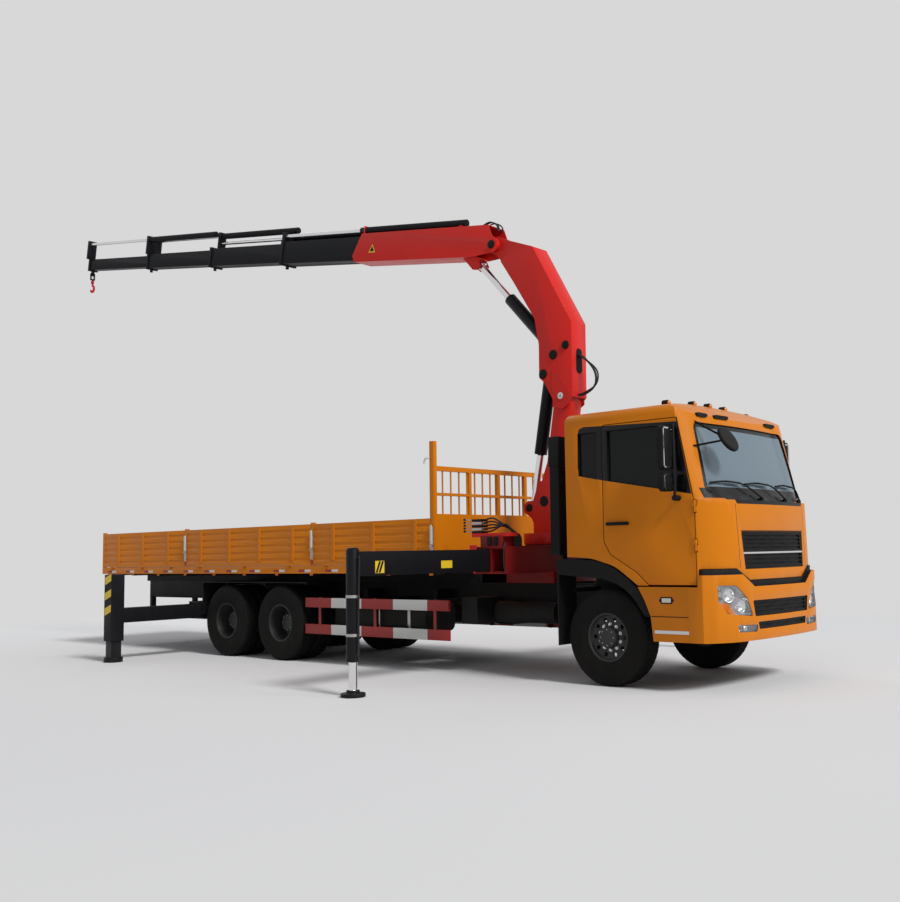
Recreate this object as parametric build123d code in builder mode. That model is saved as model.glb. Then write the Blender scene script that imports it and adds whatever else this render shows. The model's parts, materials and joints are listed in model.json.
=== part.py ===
from build123d import *
import math
import os

os.makedirs("parts", exist_ok=True)

# running gear
A = 6009.11
WHEELBASE = 5650.0
TANDEM = 1300.0
AX2 = A - WHEELBASE
AX3 = AX2 - TANDEM
TYRE_R = 526.0
TYRE_W = 278.0
RIM_R = 262.0
TRACK_F = 1025.0
TRACK_R = 930.0
DUAL = 159.0
KING_Y = 840.0
HUB_R = 120.0
SPINDLE_R = 48.0
SEAT = 0.3
GAP = 8.0

# chassis
RAIL_Y = 385.0
RAIL_W = 80.0
RAIL_Z0 = 800.0
RAIL_Z1 = 1080.0
RAIL_FRONT = A + 1080.0
RAIL_REAR = A - 10400.0

# wheel discs
HAND_HOLES = 10
HAND_R = 24.0
HAND_PITCH = 196.0

# cab: noses at the sill, the cowl, the foot of the windscreen and the roof
CAB_W = 1200.0
CAB_WALL = 60.0
CAB_REAR = A - 480.0
CAB_BOTTOM = 1090.0
COWL_Z = 1965.0
ROOF_Z = 3068.0
ROOF_EDGE = 2985.0
ROOF_R = 110.0
NOSE_FLAT = 800.0
NOSE_BOW = 45.0
CORNER_BULGE = 0.095
SILL_NOSE = A + 1478.0
COWL_NOSE = A + 1450.0
CAB_SIDE_X = A + 1180.0
SCREEN_FOOT = A + 1384.0
SCREEN_HEAD = A + 1030.0
PILLAR_FOOT = A + 1181.0
PILLAR_HEAD = A + 931.0
PANE_IN = 18.0
PANE_T = 8.0
DOOR_T = 66.0
DOOR_HINGE_X = A + 1171.0
FRONT_Z0 = 1135.0
FRONT_EDGE_Z0 = 1258.0
GRILLE_DEEP = 32.0

# bumper
BUMPER_W = 1240.0
BUMPER_T = 45.0
BUMPER_NOSE = A + 1525.0
BUMPER_SIDE_X = A + 1250.0
BUMPER_REAR = A + 1080.0
BUMPER_Z0 = 515.0
BUMPER_TOP = 1195.0
BUMPER_MID = 1066.0
STEP_TOP = 1075.0
LAMP_REAR = A + 1270.0
MARKER_X = A + 700.0
MARKER_R = 34.0

# bed
BED_W = 1245.0
BED_FRONT = A - 2520.0
BED_REAR = A - 10545.0
FLOOR_TOP = 1330.0
FLOOR_T = 40.0
SIDE_TOP = 1905.0
SIDE_T = 38.0
RIBS = 5
RIB_DEEP = 9.0
STAKE_W = 60.0
STAKE_OUT = 9.0
POST_W = 60.0
POST_1 = A - 4890.0
POST_2 = A - 8000.0

# crane
SLEW_X = A - 1660.0
BASE_TOP = 1560.0
TURN_TOP = 1700.0
LIFT_P = (A - 1330.0, 3420.0)
LIFT_EYE = (A - 1610.0, 3730.0)
LIFT_FOOT = (A - 1930.0, 2030.0)
KNUCKLE = (A - 2440.0, 5600.0)
KNUCKLE_BASE = (A - 1440.0, 3960.0)
KNUCKLE_EYE = (A - 2800.0, 5425.0)
CYL_R = 82.0
CYL_BORE = 66.0
CYL_ROD = 48.0
BOOM_ANGLE = 9.3
MAIN_W = 150.0
MAIN_IN = 126.0
COLUMN_TOP_W = 118.0
TIP_W = 100.0

# telescopic sections: half height, half width and head position along the boom
BOX_MID = 60.0
WALL = 8.0
RED_H = 215.0
RED_W = 170.0
RED_WALL = 12.0
RED_END = 2800.0
S1_H, S1_W, S1_HEAD = 180.0, 135.0, 4700.0
S2_H, S2_W, S2_HEAD = 155.0, 112.0, 6790.0
S3_H, S3_W, S3_HEAD = 131.0, 91.0, 8920.0
S4_H, S4_W, S4_HEAD = 107.0, 70.0, 11190.0
OVERLAP = 600.0
HEAD_T = 60.0
HEAD_LIP = 22.0
LINE_Y = 80.0
LINE_LOW = 340.0
LINE_HIGH = 470.0
EXT_R = 52.0
EXT_BORE = 36.0
EXT_ROD = 28.0
EXT_LEN = 2200.0

# outriggers
F_LEG_X = A - 1790.0
F_LEG_Y = 3200.0
F_BEAM_W = 95.0
F_BEAM_Z0 = 1245.0
F_BEAM_Z1 = 1505.0
R_LEG_X = A - 7690.0
R_LEG_Y = 2600.0
R_BEAM_W = 95.0
R_BEAM_Z0 = 555.0
R_BEAM_Z1 = 765.0
PITCH = 232.0
HOUSE_Y = 1150.0
LEG_R = 70.0
LEG_ROD = 46.0
FOOT_R = 130.0
FOOT_T = 70.0


def block(x0, x1, y0, y1, z0, z1, mode=Mode.ADD):
    with Locations(((x0 + x1) / 2, (y0 + y1) / 2, (z0 + z1) / 2)):
        Box(abs(x1 - x0), abs(y1 - y0), abs(z1 - z0), mode=mode)


def bar_x(y, z, x0, x1, r, mode=Mode.ADD):
    with Locations(Location(((x0 + x1) / 2, y, z), (0, 90, 0))):
        Cylinder(r, abs(x1 - x0), mode=mode)


def bar_y(x, z, y0, y1, r, mode=Mode.ADD):
    with Locations(Location((x, (y0 + y1) / 2, z), (90, 0, 0))):
        Cylinder(r, abs(y1 - y0), mode=mode)


def bar_z(x, y, z0, z1, r, mode=Mode.ADD):
    with Locations((x, y, (z0 + z1) / 2)):
        Cylinder(r, abs(z1 - z0), mode=mode)


def plate_xz(points, y0, y1, mode=Mode.ADD, grow=0.0, soft=()):
    near = min(y0, y1)
    far = max(y0, y1)
    with BuildSketch(Plane.XZ.offset(-far)) as sk:
        with BuildLine():
            Polyline(*points, close=True)
        make_face()
        for corner, radius in soft:
            fillet(sk.vertices().sort_by_distance(corner)[0], radius)
        if grow:
            offset(amount=grow, kind=Kind.INTERSECTION)
    extrude(to_extrude=sk.sketch, amount=far - near, mode=mode)


def plate_yz(points, x0, x1, mode=Mode.ADD, grow=0.0, soft=0.0):
    with BuildSketch(Plane.YZ.offset(x0)) as sk:
        with BuildLine():
            Polyline(*points, close=True)
        make_face()
        if soft:
            fillet(sk.vertices(), soft)
        if grow:
            offset(amount=grow, kind=Kind.INTERSECTION)
    extrude(to_extrude=sk.sketch, amount=x1 - x0, mode=mode)


def round_x(y, z, w, h, r, x0, x1, mode=Mode.ADD):
    with BuildSketch(Plane.YZ.offset(x0)) as sk:
        with Locations((y, z)):
            RectangleRounded(w, h, r)
    extrude(to_extrude=sk.sketch, amount=x1 - x0, mode=mode)


def round_z(x, y, w, h, r, z0, z1, mode=Mode.ADD):
    with BuildSketch(Plane.XY.offset(z0)) as sk:
        with Locations((x, y)):
            RectangleRounded(w, h, r)
    extrude(to_extrude=sk.sketch, amount=z1 - z0, mode=mode)


def front_plan(z, nose, side_x, half, rear):
    dx = nose - NOSE_BOW - side_x
    dy = half - NOSE_FLAT
    mid_x = side_x + dx / 2 + CORNER_BULGE * dy
    mid_y = NOSE_FLAT + dy / 2 + CORNER_BULGE * dx
    edge_x = nose - NOSE_BOW
    with BuildSketch(Plane.XY.offset(z)) as sk:
        with BuildLine():
            Line((rear, -half), (rear, half))
            Line((rear, half), (side_x, half))
            ThreePointArc((side_x, half), (mid_x, mid_y), (edge_x, NOSE_FLAT))
            ThreePointArc((edge_x, NOSE_FLAT), (nose, 0), (edge_x, -NOSE_FLAT))
            ThreePointArc((edge_x, -NOSE_FLAT), (mid_x, -mid_y), (side_x, -half))
            Line((side_x, -half), (rear, -half))
        make_face()
    return sk.sketch


def lower_cab(inset, mode=Mode.ADD):
    rear = CAB_REAR + inset
    half = CAB_W - inset
    low = front_plan(CAB_BOTTOM, SILL_NOSE - inset, CAB_SIDE_X - inset * 0.6, half, rear)
    high = front_plan(COWL_Z, COWL_NOSE - inset, CAB_SIDE_X - inset * 0.6, half, rear)
    loft(sections=[low, high], ruled=True, mode=mode)


def upper_cab(inset, mode=Mode.ADD):
    rear = CAB_REAR + inset
    half = CAB_W - inset
    low = front_plan(COWL_Z - 100, SCREEN_FOOT - inset, PILLAR_FOOT - inset * 0.6, half, rear)
    high = front_plan(ROOF_Z, SCREEN_HEAD - inset, PILLAR_HEAD - inset * 0.6, half, rear)
    loft(sections=[low, high], ruled=True, mode=mode)


def crown(inset):
    half = CAB_W - inset
    edge = ROOF_EDGE - inset
    with BuildSketch(Plane.YZ.offset(CAB_REAR - 100)) as sk:
        with BuildLine():
            Line((half, edge), (half, CAB_BOTTOM - 200))
            Line((half, CAB_BOTTOM - 200), (-half, CAB_BOTTOM - 200))
            Line((-half, CAB_BOTTOM - 200), (-half, edge))
            ThreePointArc((-half, edge), (0, ROOF_Z - inset), (half, edge))
        make_face()
        fillet(sk.vertices().group_by(Axis.Y)[-1], ROOF_R - inset * 0.5)
    extrude(to_extrude=sk.sketch, amount=SILL_NOSE - CAB_REAR + 300, mode=Mode.INTERSECT)


def bumper_block(inset, z0, z1, rear, mode=Mode.ADD):
    plan = front_plan(z0, BUMPER_NOSE - inset, BUMPER_SIDE_X - inset * 0.6, BUMPER_W - inset, rear)
    extrude(to_extrude=plan, amount=z1 - z0, mode=mode)


def mirrored(points, s):
    return [(s * y, z) for y, z in points]


def tube(p, q, r, mode=Mode.ADD):
    way = Vector(*q) - Vector(*p)
    with BuildSketch(Plane(origin=p, z_dir=way)) as sk:
        Circle(r)
    extrude(to_extrude=sk.sketch, amount=way.length, mode=mode)


def plate_boom(points, y0, y1, mode=Mode.ADD):
    with BuildSketch(Plane(origin=(KNUCKLE[0], y0, KNUCKLE[1]), x_dir=BOOM_X, z_dir=(0, 1, 0))) as sk:
        with BuildLine():
            Polyline(*points, close=True)
        make_face()
    extrude(to_extrude=sk.sketch, amount=y1 - y0, mode=mode)


def between(p, q, d0, d1, r, mode=Mode.ADD):
    length = math.hypot(q[0] - p[0], q[1] - p[1])
    ux = (q[0] - p[0]) / length
    uz = (q[1] - p[1]) / length
    start = (p[0] + ux * d0, 0, p[1] + uz * d0)
    with BuildSketch(Plane(origin=start, z_dir=(ux, 0, uz))) as sk:
        Circle(r)
    extrude(to_extrude=sk.sketch, amount=d1 - d0, mode=mode)


def turned(points, x, y, s):
    with BuildSketch(Plane.YZ.offset(x)) as sk:
        with BuildLine():
            Polyline(*[(y + s * o, TYRE_R + r) for o, r in points], close=True)
        make_face()
    revolve(profiles=sk.sketch, axis=Axis((x, y, TYRE_R), (0, 1, 0)), revolution_arc=360)


def rel(points):
    return [(A + x, z) for x, z in points]


BOOM_X = (-math.cos(math.radians(BOOM_ANGLE)), 0, math.sin(math.radians(BOOM_ANGLE)))
BOOM_Z = (math.sin(math.radians(BOOM_ANGLE)), 0, math.cos(math.radians(BOOM_ANGLE)))
BOOM = Plane(origin=(KNUCKLE[0], 0, KNUCKLE[1]), x_dir=BOOM_X, z_dir=BOOM_Z)
HALF_T = TYRE_W / 2
BEAM_Z0 = TYRE_R - 105
BEAM_Z1 = TYRE_R - 5
F_LEFT_X = F_LEG_X + PITCH
R_LEFT_X = R_LEG_X - PITCH

# ladder frame with its axles, springs and rear bar
with BuildPart() as chassis_frame:
    for s in (1, -1):
        block(RAIL_REAR, RAIL_FRONT, s * RAIL_Y - RAIL_W / 2, s * RAIL_Y + RAIL_W / 2, RAIL_Z0, RAIL_Z1)
        block(A - 760, A + 760, s * RAIL_Y - 45, s * RAIL_Y + 45, BEAM_Z1, BEAM_Z1 + 70)
        for x in (A - 720, A + 720):
            block(x - 40, x + 40, s * RAIL_Y - 30, s * RAIL_Y + 30, BEAM_Z1 + 60, RAIL_Z0 + 20)
        block(AX3 - 80, AX2 + 80, s * 520 - 45, s * 520 + 45, TYRE_R + 80, TYRE_R + 190)
        block((AX2 + AX3) / 2 - 110, (AX2 + AX3) / 2 + 110, s * 400, s * 565, TYRE_R - 60, RAIL_Z0 + 120)
        bar_z(A, s * KING_Y, BEAM_Z0, BEAM_Z1, 46)
        block(RAIL_REAR + 60, RAIL_REAR + 130, s * 420 - 40, s * 420 + 40, 540, RAIL_Z0 + 10)
    for x in (RAIL_REAR + 60, AX3 - 1900, AX3 - 300, (AX2 + AX3) / 2, AX2 + 500, AX2 + 2200, A - 1500, A - 300, A + 980):
        block(x - 40, x + 40, -RAIL_Y, RAIL_Y, RAIL_Z0 + 30, RAIL_Z1 - 30)
    block(A - 55, A + 55, -KING_Y + 20, KING_Y - 20, BEAM_Z0, BEAM_Z1)
    for x in (AX2, AX3):
        bar_y(x, TYRE_R, -600, 600, 92)
        bar_y(x, TYRE_R, -1040, 1040, SPINDLE_R)
        with Locations((x, 0, TYRE_R)):
            Sphere(215)
    block(RAIL_REAR + 40, RAIL_REAR + 140, -1150, 1150, 420, 540)
    block(A - 1000, A + 700, -300, 300, 640, CAB_BOTTOM - 20)
    block(AX3 - 380, A - 900, -45, 45, 640, 720)
chassis_frame.part.label = "chassis_frame"
export_step(chassis_frame.part, "parts/chassis_frame.step")

# steering knuckles
KNUCKLE_ARMS = {"steer_right": -1, "steer_left": 1}
for name, s in KNUCKLE_ARMS.items():
    with BuildPart() as steer:
        block(A - 70, A + 70, s * 895, s * 932, BEAM_Z0 - 40, TYRE_R + 130)
        for z0, z1 in ((BEAM_Z0 - 40, BEAM_Z0 - SEAT), (BEAM_Z1 + SEAT, BEAM_Z1 + 45)):
            bar_z(A, s * KING_Y, z0, z1, 50)
            block(A - 45, A + 45, s * KING_Y, s * 900, z0, z1)
        bar_y(A, TYRE_R, s * 920, s * 1118, SPINDLE_R)
        block(A - 250, A - 40, s * 850, s * 895, BEAM_Z0 - 40, BEAM_Z0 - 12)
    steer.part.label = name
    export_step(steer.part, "parts/" + name + ".step")

# wheels: offset outward and radius
TYRE = [
    (-HALF_T + 22, RIM_R), (-HALF_T, 330), (-HALF_T, 452), (-HALF_T + 22, 508), (-HALF_T + 44, TYRE_R),
    (HALF_T - 44, TYRE_R), (HALF_T - 22, 508), (HALF_T, 452), (HALF_T, 330), (HALF_T - 22, RIM_R),
]
FRONT_WHEEL = TYRE + [
    (HALF_T - 22, RIM_R - 16), (75, RIM_R - 30), (62, 150), (70, HUB_R), (128, HUB_R - 10), (135, 0), (98, 0),
    (98, SPINDLE_R + SEAT), (-62, SPINDLE_R + SEAT), (-62, HUB_R), (40, HUB_R), (48, RIM_R - 30), (-HALF_T + 22, RIM_R - 16),
]
OUTER = [(o + DUAL, r) for o, r in TYRE]
INNER = [(o - DUAL, r) for o, r in TYRE]
REAR_WHEEL = INNER + OUTER + [
    (DUAL + HALF_T - 22, RIM_R - 16), (30, RIM_R - 24), (16, 160), (24, 135), (150, 125), (165, 0), (115, 0),
    (115, SPINDLE_R + SEAT), (-170, SPINDLE_R + SEAT), (-170, 135), (-14, 150), (-20, RIM_R - 24), (-DUAL - HALF_T + 22, RIM_R - 16),
]
for name, s in (("front_wheel_right", -1), ("front_wheel_left", 1)):
    with BuildPart() as wheel:
        turned(FRONT_WHEEL, A, s * TRACK_F, s)
        for i in range(HAND_HOLES):
            turn = 2 * math.pi * i / HAND_HOLES
            x = A + HAND_PITCH * math.cos(turn)
            z = TYRE_R + HAND_PITCH * math.sin(turn)
            bar_y(x, z, s * (TRACK_F + 30), s * (TRACK_F + 90), HAND_R, Mode.SUBTRACT)
    wheel.part.label = name
    export_step(wheel.part, "parts/" + name + ".step")
for name, x, s in (
    ("mid_wheels_right", AX2, -1), ("mid_wheels_left", AX2, 1),
    ("rear_wheels_right", AX3, -1), ("rear_wheels_left", AX3, 1),
):
    with BuildPart() as wheel:
        turned(REAR_WHEEL, x, s * TRACK_R, s)
        for i in range(HAND_HOLES):
            turn = 2 * math.pi * i / HAND_HOLES
            hole_x = x + HAND_PITCH * math.cos(turn)
            z = TYRE_R + HAND_PITCH * math.sin(turn)
            bar_y(hole_x, z, s * (TRACK_R - 40), s * (TRACK_R + 60), HAND_R, Mode.SUBTRACT)
    wheel.part.label = name
    export_step(wheel.part, "parts/" + name + ".step")

# cab outline, inside, door and windows seen from the side, from the front axle
CAB = rel([
    (-480, 1400), (-480, 3055), (700, 3090), (1100, 2865), (1420, 2300), (1560, 2000), (1560, 1090), (450, 1090),
    (164, 1294), (-167, 1386),
])
CAB_SOFT = ((CAB[1], 150), (CAB[2], 320), (CAB[8], 600), (CAB[9], 700))
CABIN = rel([
    (-420, 1560), (-420, 2940), (700, 2990), (1040, 2815), (1330, 2300), (1440, 1990), (1440, 1330), (1180, 1330),
    (1180, 1250), (640, 1250), (90, 1560),
])
DOOR = rel([
    (30, 1560), (30, 2830), (980, 2830), (1148, 2010), (1165, 1950), (1165, 1098), (590, 1098), (450, 1228), (110, 1425),
])
DOOR_SOFT = ((DOOR[0], 70), (DOOR[1], 45), (DOOR[7], 160), (DOOR[8], 70))
DOOR_GLASS = rel([(95, 2215), (95, 2765), (935, 2765), (1085, 2050)])
QUARTER = rel([(-300, 2295), (-300, 2765), (-45, 2765), (-45, 2242)])
SCREEN = [(-1075, 2030), (-1010, 2800), (1010, 2800), (1075, 2030)]
SCREEN_SOFT = 90.0
FRONT_EDGE = [
    (-1300, FRONT_EDGE_Z0), (-830, FRONT_EDGE_Z0), (-600, FRONT_Z0), (600, FRONT_Z0), (830, FRONT_EDGE_Z0),
    (1300, FRONT_EDGE_Z0), (1300, 1000), (-1300, 1000),
]
GRILLE = [(-711, 1632), (711, 1632), (676, 1256), (-676, 1256)]
WALL_IN = CAB_W - 100
WALL_OUT = CAB_W + 100
with BuildPart() as cab_body:
    lower_cab(0)
    upper_cab(0)
    plate_xz(CAB, -WALL_OUT, WALL_OUT, Mode.INTERSECT, soft=CAB_SOFT)
    crown(0)
    plate_yz(FRONT_EDGE, A + 1190, A + 1600, Mode.SUBTRACT)
with BuildPart() as cab_room:
    lower_cab(CAB_WALL)
    block(CAB_REAR, A + 1600, -CAB_W, CAB_W, CAB_BOTTOM - 50, COWL_Z - CAB_WALL, Mode.INTERSECT)
    upper_cab(CAB_WALL)
    plate_xz(CABIN, -WALL_OUT, WALL_OUT, Mode.INTERSECT)
    crown(CAB_WALL)
with BuildPart() as grille_room:
    plate_yz(GRILLE, A + 1300, A + 1600, soft=18)
    lower_cab(GRILLE_DEEP, Mode.SUBTRACT)
with BuildPart() as cab_shell:
    add(cab_body.part)
    add(cab_room.part, mode=Mode.SUBTRACT)
    plate_yz(SCREEN, A + 900, A + 1600, Mode.SUBTRACT, soft=SCREEN_SOFT)
    add(grille_room.part, mode=Mode.SUBTRACT)
    for s in (1, -1):
        plate_xz(DOOR, s * WALL_IN, s * WALL_OUT, Mode.SUBTRACT, GAP, DOOR_SOFT)
        plate_xz(QUARTER, s * WALL_IN, s * WALL_OUT, Mode.SUBTRACT)
        for z in (1500, 1900):
            bar_z(DOOR_HINGE_X, s * CAB_W, z - 70, z + 70, 19, Mode.SUBTRACT)
            bar_z(DOOR_HINGE_X, s * CAB_W, z - 60, z - SEAT / 2, 13)
            block(DOOR_HINGE_X, DOOR_HINGE_X + 26, s * (CAB_W - 30), s * (CAB_W + 6), z - 60, z - SEAT / 2)
        block(A - 350, A - 230, s * RAIL_Y - 40, s * RAIL_Y + 40, RAIL_Z1 + SEAT, 1470)
cab_shell.part.label = "cab_shell"
export_step(cab_shell.part, "parts/cab_shell.step")

for name, s in (("door_right", -1), ("door_left", 1)):
    with BuildPart() as door:
        add(cab_body.part)
        plate_xz(DOOR, s * (CAB_W - DOOR_T), s * WALL_OUT, Mode.INTERSECT, soft=DOOR_SOFT)
        plate_xz(DOOR_GLASS, s * WALL_IN, s * WALL_OUT, Mode.SUBTRACT)
        for z in (1500, 1900):
            bar_z(DOOR_HINGE_X, s * CAB_W, z - 70, z + 70, 19, Mode.SUBTRACT)
            bar_z(DOOR_HINGE_X, s * CAB_W, z + SEAT / 2, z + 60, 13)
            block(DOOR_HINGE_X - 34, DOOR_HINGE_X, s * (CAB_W - 12), s * (CAB_W + 10), z + SEAT / 2, z + 60)
        block(A + 80, A + 110, s * (CAB_W - 5), s * (CAB_W + 22), 1735, 1765)
        block(A + 330, A + 357, s * (CAB_W - 5), s * (CAB_W + 22), 1735, 1765)
        round_x(s * (CAB_W + 26), 1750, 24, 36, 11, A + 80, A + 357)
        bar_y(A + 985, 1990, s * (CAB_W - 5), s * (CAB_W + 85), 30)
        bar_z(A + 985, s * (CAB_W + 70), 1975, 2760, 14)
        round_x(s * (CAB_W + 145), 2510, 200, 460, 55, A + 900, A + 960)
        round_x(s * (CAB_W + 145), 2150, 200, 190, 50, A + 900, A + 960)
        for z in (2680, 2400, 2150):
            block(A + 950, A + 990, s * (CAB_W + 60), s * (CAB_W + 80), z - 10, z + 10)
    door.part.label = name
    export_step(door.part, "parts/" + name + ".step")
for name, s in (("door_glass_right", -1), ("door_glass_left", 1)):
    with BuildPart() as pane:
        plate_xz(DOOR_GLASS, s * (CAB_W - 40), s * (CAB_W - 34), Mode.ADD, -SEAT)
    pane.part.label = name
    export_step(pane.part, "parts/" + name + ".step")

with BuildPart() as cab_glass:
    upper_cab(PANE_IN)
    upper_cab(PANE_IN + PANE_T, Mode.SUBTRACT)
    plate_yz(SCREEN, A + 900, A + 1600, Mode.INTERSECT, -SEAT, SCREEN_SOFT)
    for s in (1, -1):
        plate_xz(QUARTER, s * (CAB_W - 40), s * (CAB_W - 34), Mode.ADD, -SEAT)
cab_glass.part.label = "cab_glass"
export_step(cab_glass.part, "parts/cab_glass.step")

with BuildPart() as cab_interior:
    block(A + 900, A + 1140, -1100, 1100, 1500, 1900)
    block(A + 1000, A + 1100, -300, 300, 1250 + SEAT, 1510)
    for y in (550, -550):
        block(A + 150, A + 650, y - 250, y + 250, 1700, 1830)
        block(A + 120, A + 260, y - 240, y + 240, 1800, 2420)
        plate_xz(rel([(200, 1498.4), (600, 1272.95), (600, 1712), (200, 1712)]), y - 150, y + 150)
    block(A - 419, A + 50, -1100, 1100, 1560 + SEAT, 1760)
    with Locations(Location((A + 760, 550, 1960), (0, -55, 0))):
        Torus(225, 18)
        Cylinder(40, 40)
        Box(420, 30, 20)
    with BuildSketch(Plane(origin=(A + 760, 550, 1960), z_dir=(0.82, 0, -0.574))) as stem:
        Circle(28)
    extrude(amount=220)
cab_interior.part.label = "cab_interior"
export_step(cab_interior.part, "parts/cab_interior.step")

# bumper with its lamp and grille openings, seen from the front: across and up
HEADLAMP = [(1125, 1090), (920, 1085), (750, 957), (640, 762), (1030, 800), (1118, 930)]
FOG_LAMP = [(915, 686), (560, 672), (590, 602), (890, 610)]
MID_GRILLE = [(-641, 923), (641, 923), (607, 759), (-607, 759)]
LOW_SLOT = [(-558, 699), (558, 699), (535, 624), (-535, 624)]
with BuildPart() as front_bumper:
    bumper_block(0, BUMPER_Z0, BUMPER_TOP, BUMPER_REAR)
    bumper_block(BUMPER_T, BUMPER_Z0 + 40, BUMPER_TOP + 10, BUMPER_REAR - 100, Mode.SUBTRACT)
    plate_yz([(-600, BUMPER_MID), (600, BUMPER_MID), (805, BUMPER_TOP), (805, 1400), (-805, 1400), (-805, BUMPER_TOP)],
             BUMPER_REAR - 100, BUMPER_NOSE + 100, Mode.SUBTRACT)
    plate_xz(rel([(900, STEP_TOP), (1196, STEP_TOP), (1196, 1300), (900, 1300)]), -WALL_OUT, WALL_OUT, Mode.SUBTRACT)
    for points in (MID_GRILLE, LOW_SLOT):
        plate_yz(points, LAMP_REAR, BUMPER_NOSE + 100, Mode.SUBTRACT, soft=14)
    for s in (1, -1):
        plate_xz(rel([(470, STEP_TOP), (1095, STEP_TOP), (1095, BUMPER_Z0), (650, BUMPER_Z0), (622, 772), (552, 935)]),
                 s * 1150, s * (BUMPER_W - 5))
        block(A + 660, A + 1085, s * 1110, s * 1155, 590, 620)
        plate_yz(mirrored(HEADLAMP, s), LAMP_REAR, BUMPER_NOSE + 100, Mode.SUBTRACT, soft=22)
        plate_yz(mirrored(FOG_LAMP, s), LAMP_REAR, BUMPER_NOSE + 100, Mode.SUBTRACT, soft=18)
        block(RAIL_FRONT + SEAT, A + 1460, s * RAIL_Y - 60, s * RAIL_Y + 60, BUMPER_Z0 + 30, BUMPER_Z0 + 60)
        block(RAIL_FRONT + SEAT, RAIL_FRONT + 40, s * RAIL_Y - 60, s * RAIL_Y + 60, BUMPER_Z0 + 30, RAIL_Z1 - 20)
front_bumper.part.label = "front_bumper"
export_step(front_bumper.part, "parts/front_bumper.step")

# black grilles: the upper one in the cab, the band over the bumper and the two in the bumper
SLOT_H = 30.0
UPPER_SLOTS = [1282, 1324, 1366, 1446, 1488, 1530, 1572]
MID_SLOTS = [786, 828, 870]
LOW_SLOTS = [647]
with BuildPart() as upper_slots:
    for z in UPPER_SLOTS:
        block(A + 1300, A + 1600, -650, 650, z, z + SLOT_H)
    lower_cab(GRILLE_DEEP - 9, Mode.SUBTRACT)
with BuildPart() as upper_grille:
    lower_cab(6)
    lower_cab(GRILLE_DEEP - SEAT, Mode.SUBTRACT)
    plate_yz(GRILLE, A + 1300, A + 1600, Mode.INTERSECT, -SEAT, 18)
    add(upper_slots.part, mode=Mode.SUBTRACT)
with BuildPart() as front_band:
    bumper_block(BUMPER_T + SEAT, BUMPER_MID - 40, FRONT_EDGE_Z0, A + 1196)
    bumper_block(BUMPER_T + 25, BUMPER_MID - 50, FRONT_EDGE_Z0 + 10, A + 1100, Mode.SUBTRACT)
    plate_yz(FRONT_EDGE, A + 1100, A + 1600, Mode.INTERSECT, -6)
    for s in (1, -1):
        plate_yz(mirrored(HEADLAMP, s), A + 1100, A + 1600, Mode.SUBTRACT, 4)
with BuildPart() as low_slots:
    for z in MID_SLOTS:
        block(LAMP_REAR, BUMPER_NOSE, -580, 580, z, z + SLOT_H)
    for z in LOW_SLOTS:
        block(LAMP_REAR, BUMPER_NOSE, -500, 500, z, z + SLOT_H)
    bumper_block(32, BUMPER_Z0, BUMPER_TOP, BUMPER_REAR, Mode.SUBTRACT)
with BuildPart() as mid_insert:
    bumper_block(14, BUMPER_Z0, BUMPER_TOP, BUMPER_REAR)
    bumper_block(40, BUMPER_Z0 - 10, BUMPER_TOP + 10, BUMPER_REAR - 100, Mode.SUBTRACT)
    plate_yz(MID_GRILLE, LAMP_REAR, BUMPER_NOSE, Mode.INTERSECT, -SEAT, 14)
    add(low_slots.part, mode=Mode.SUBTRACT)
with BuildPart() as low_insert:
    bumper_block(14, BUMPER_Z0, BUMPER_TOP, BUMPER_REAR)
    bumper_block(40, BUMPER_Z0 - 10, BUMPER_TOP + 10, BUMPER_REAR - 100, Mode.SUBTRACT)
    plate_yz(LOW_SLOT, LAMP_REAR, BUMPER_NOSE, Mode.INTERSECT, -SEAT, 14)
    add(low_slots.part, mode=Mode.SUBTRACT)
with BuildPart() as front_grille:
    for piece in (upper_grille, front_band, mid_insert, low_insert):
        add(piece.part)
front_grille.part.label = "front_grille"
export_step(front_grille.part, "parts/front_grille.step")

# lamps: two heads, two fogs and five markers along the roof
LENSES = []
for s in (1, -1):
    for points, soft in ((HEADLAMP, 22), (FOG_LAMP, 18)):
        with BuildPart() as lens:
            bumper_block(5, BUMPER_Z0 + 60, BUMPER_TOP, BUMPER_REAR)
            plate_yz(mirrored(points, s), LAMP_REAR, BUMPER_NOSE, Mode.INTERSECT, -SEAT, soft)
        LENSES.append((lens, Location((0, 0, 0))))
CROWN_R = (CAB_W ** 2 + (ROOF_Z - ROOF_EDGE) ** 2) / (2 * (ROOF_Z - ROOF_EDGE))
for y in (-887, -345, 0, 345, 887):
    z = ROOF_Z - CROWN_R + math.sqrt(CROWN_R ** 2 - y ** 2) + SEAT
    with BuildPart() as marker:
        with Locations(Location((0, 0, MARKER_R * 0.6))):
            Cylinder(MARKER_R, 60, rotation=(0, 90, 0), align=(Align.CENTER, Align.CENTER, Align.MAX))
            Sphere(MARKER_R)
        block(-100, 100, -100, 100, -100, 0, Mode.SUBTRACT)
    tilt = -math.degrees(math.asin(y / CROWN_R))
    LENSES.append((marker, Location((MARKER_X, y, z), (tilt, 0, 0))))
with BuildPart() as front_lamps:
    for lens, place in LENSES:
        with Locations(place):
            add(lens.part)
front_lamps.part.label = "front_lamps"
export_step(front_lamps.part, "parts/front_lamps.step")

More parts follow.
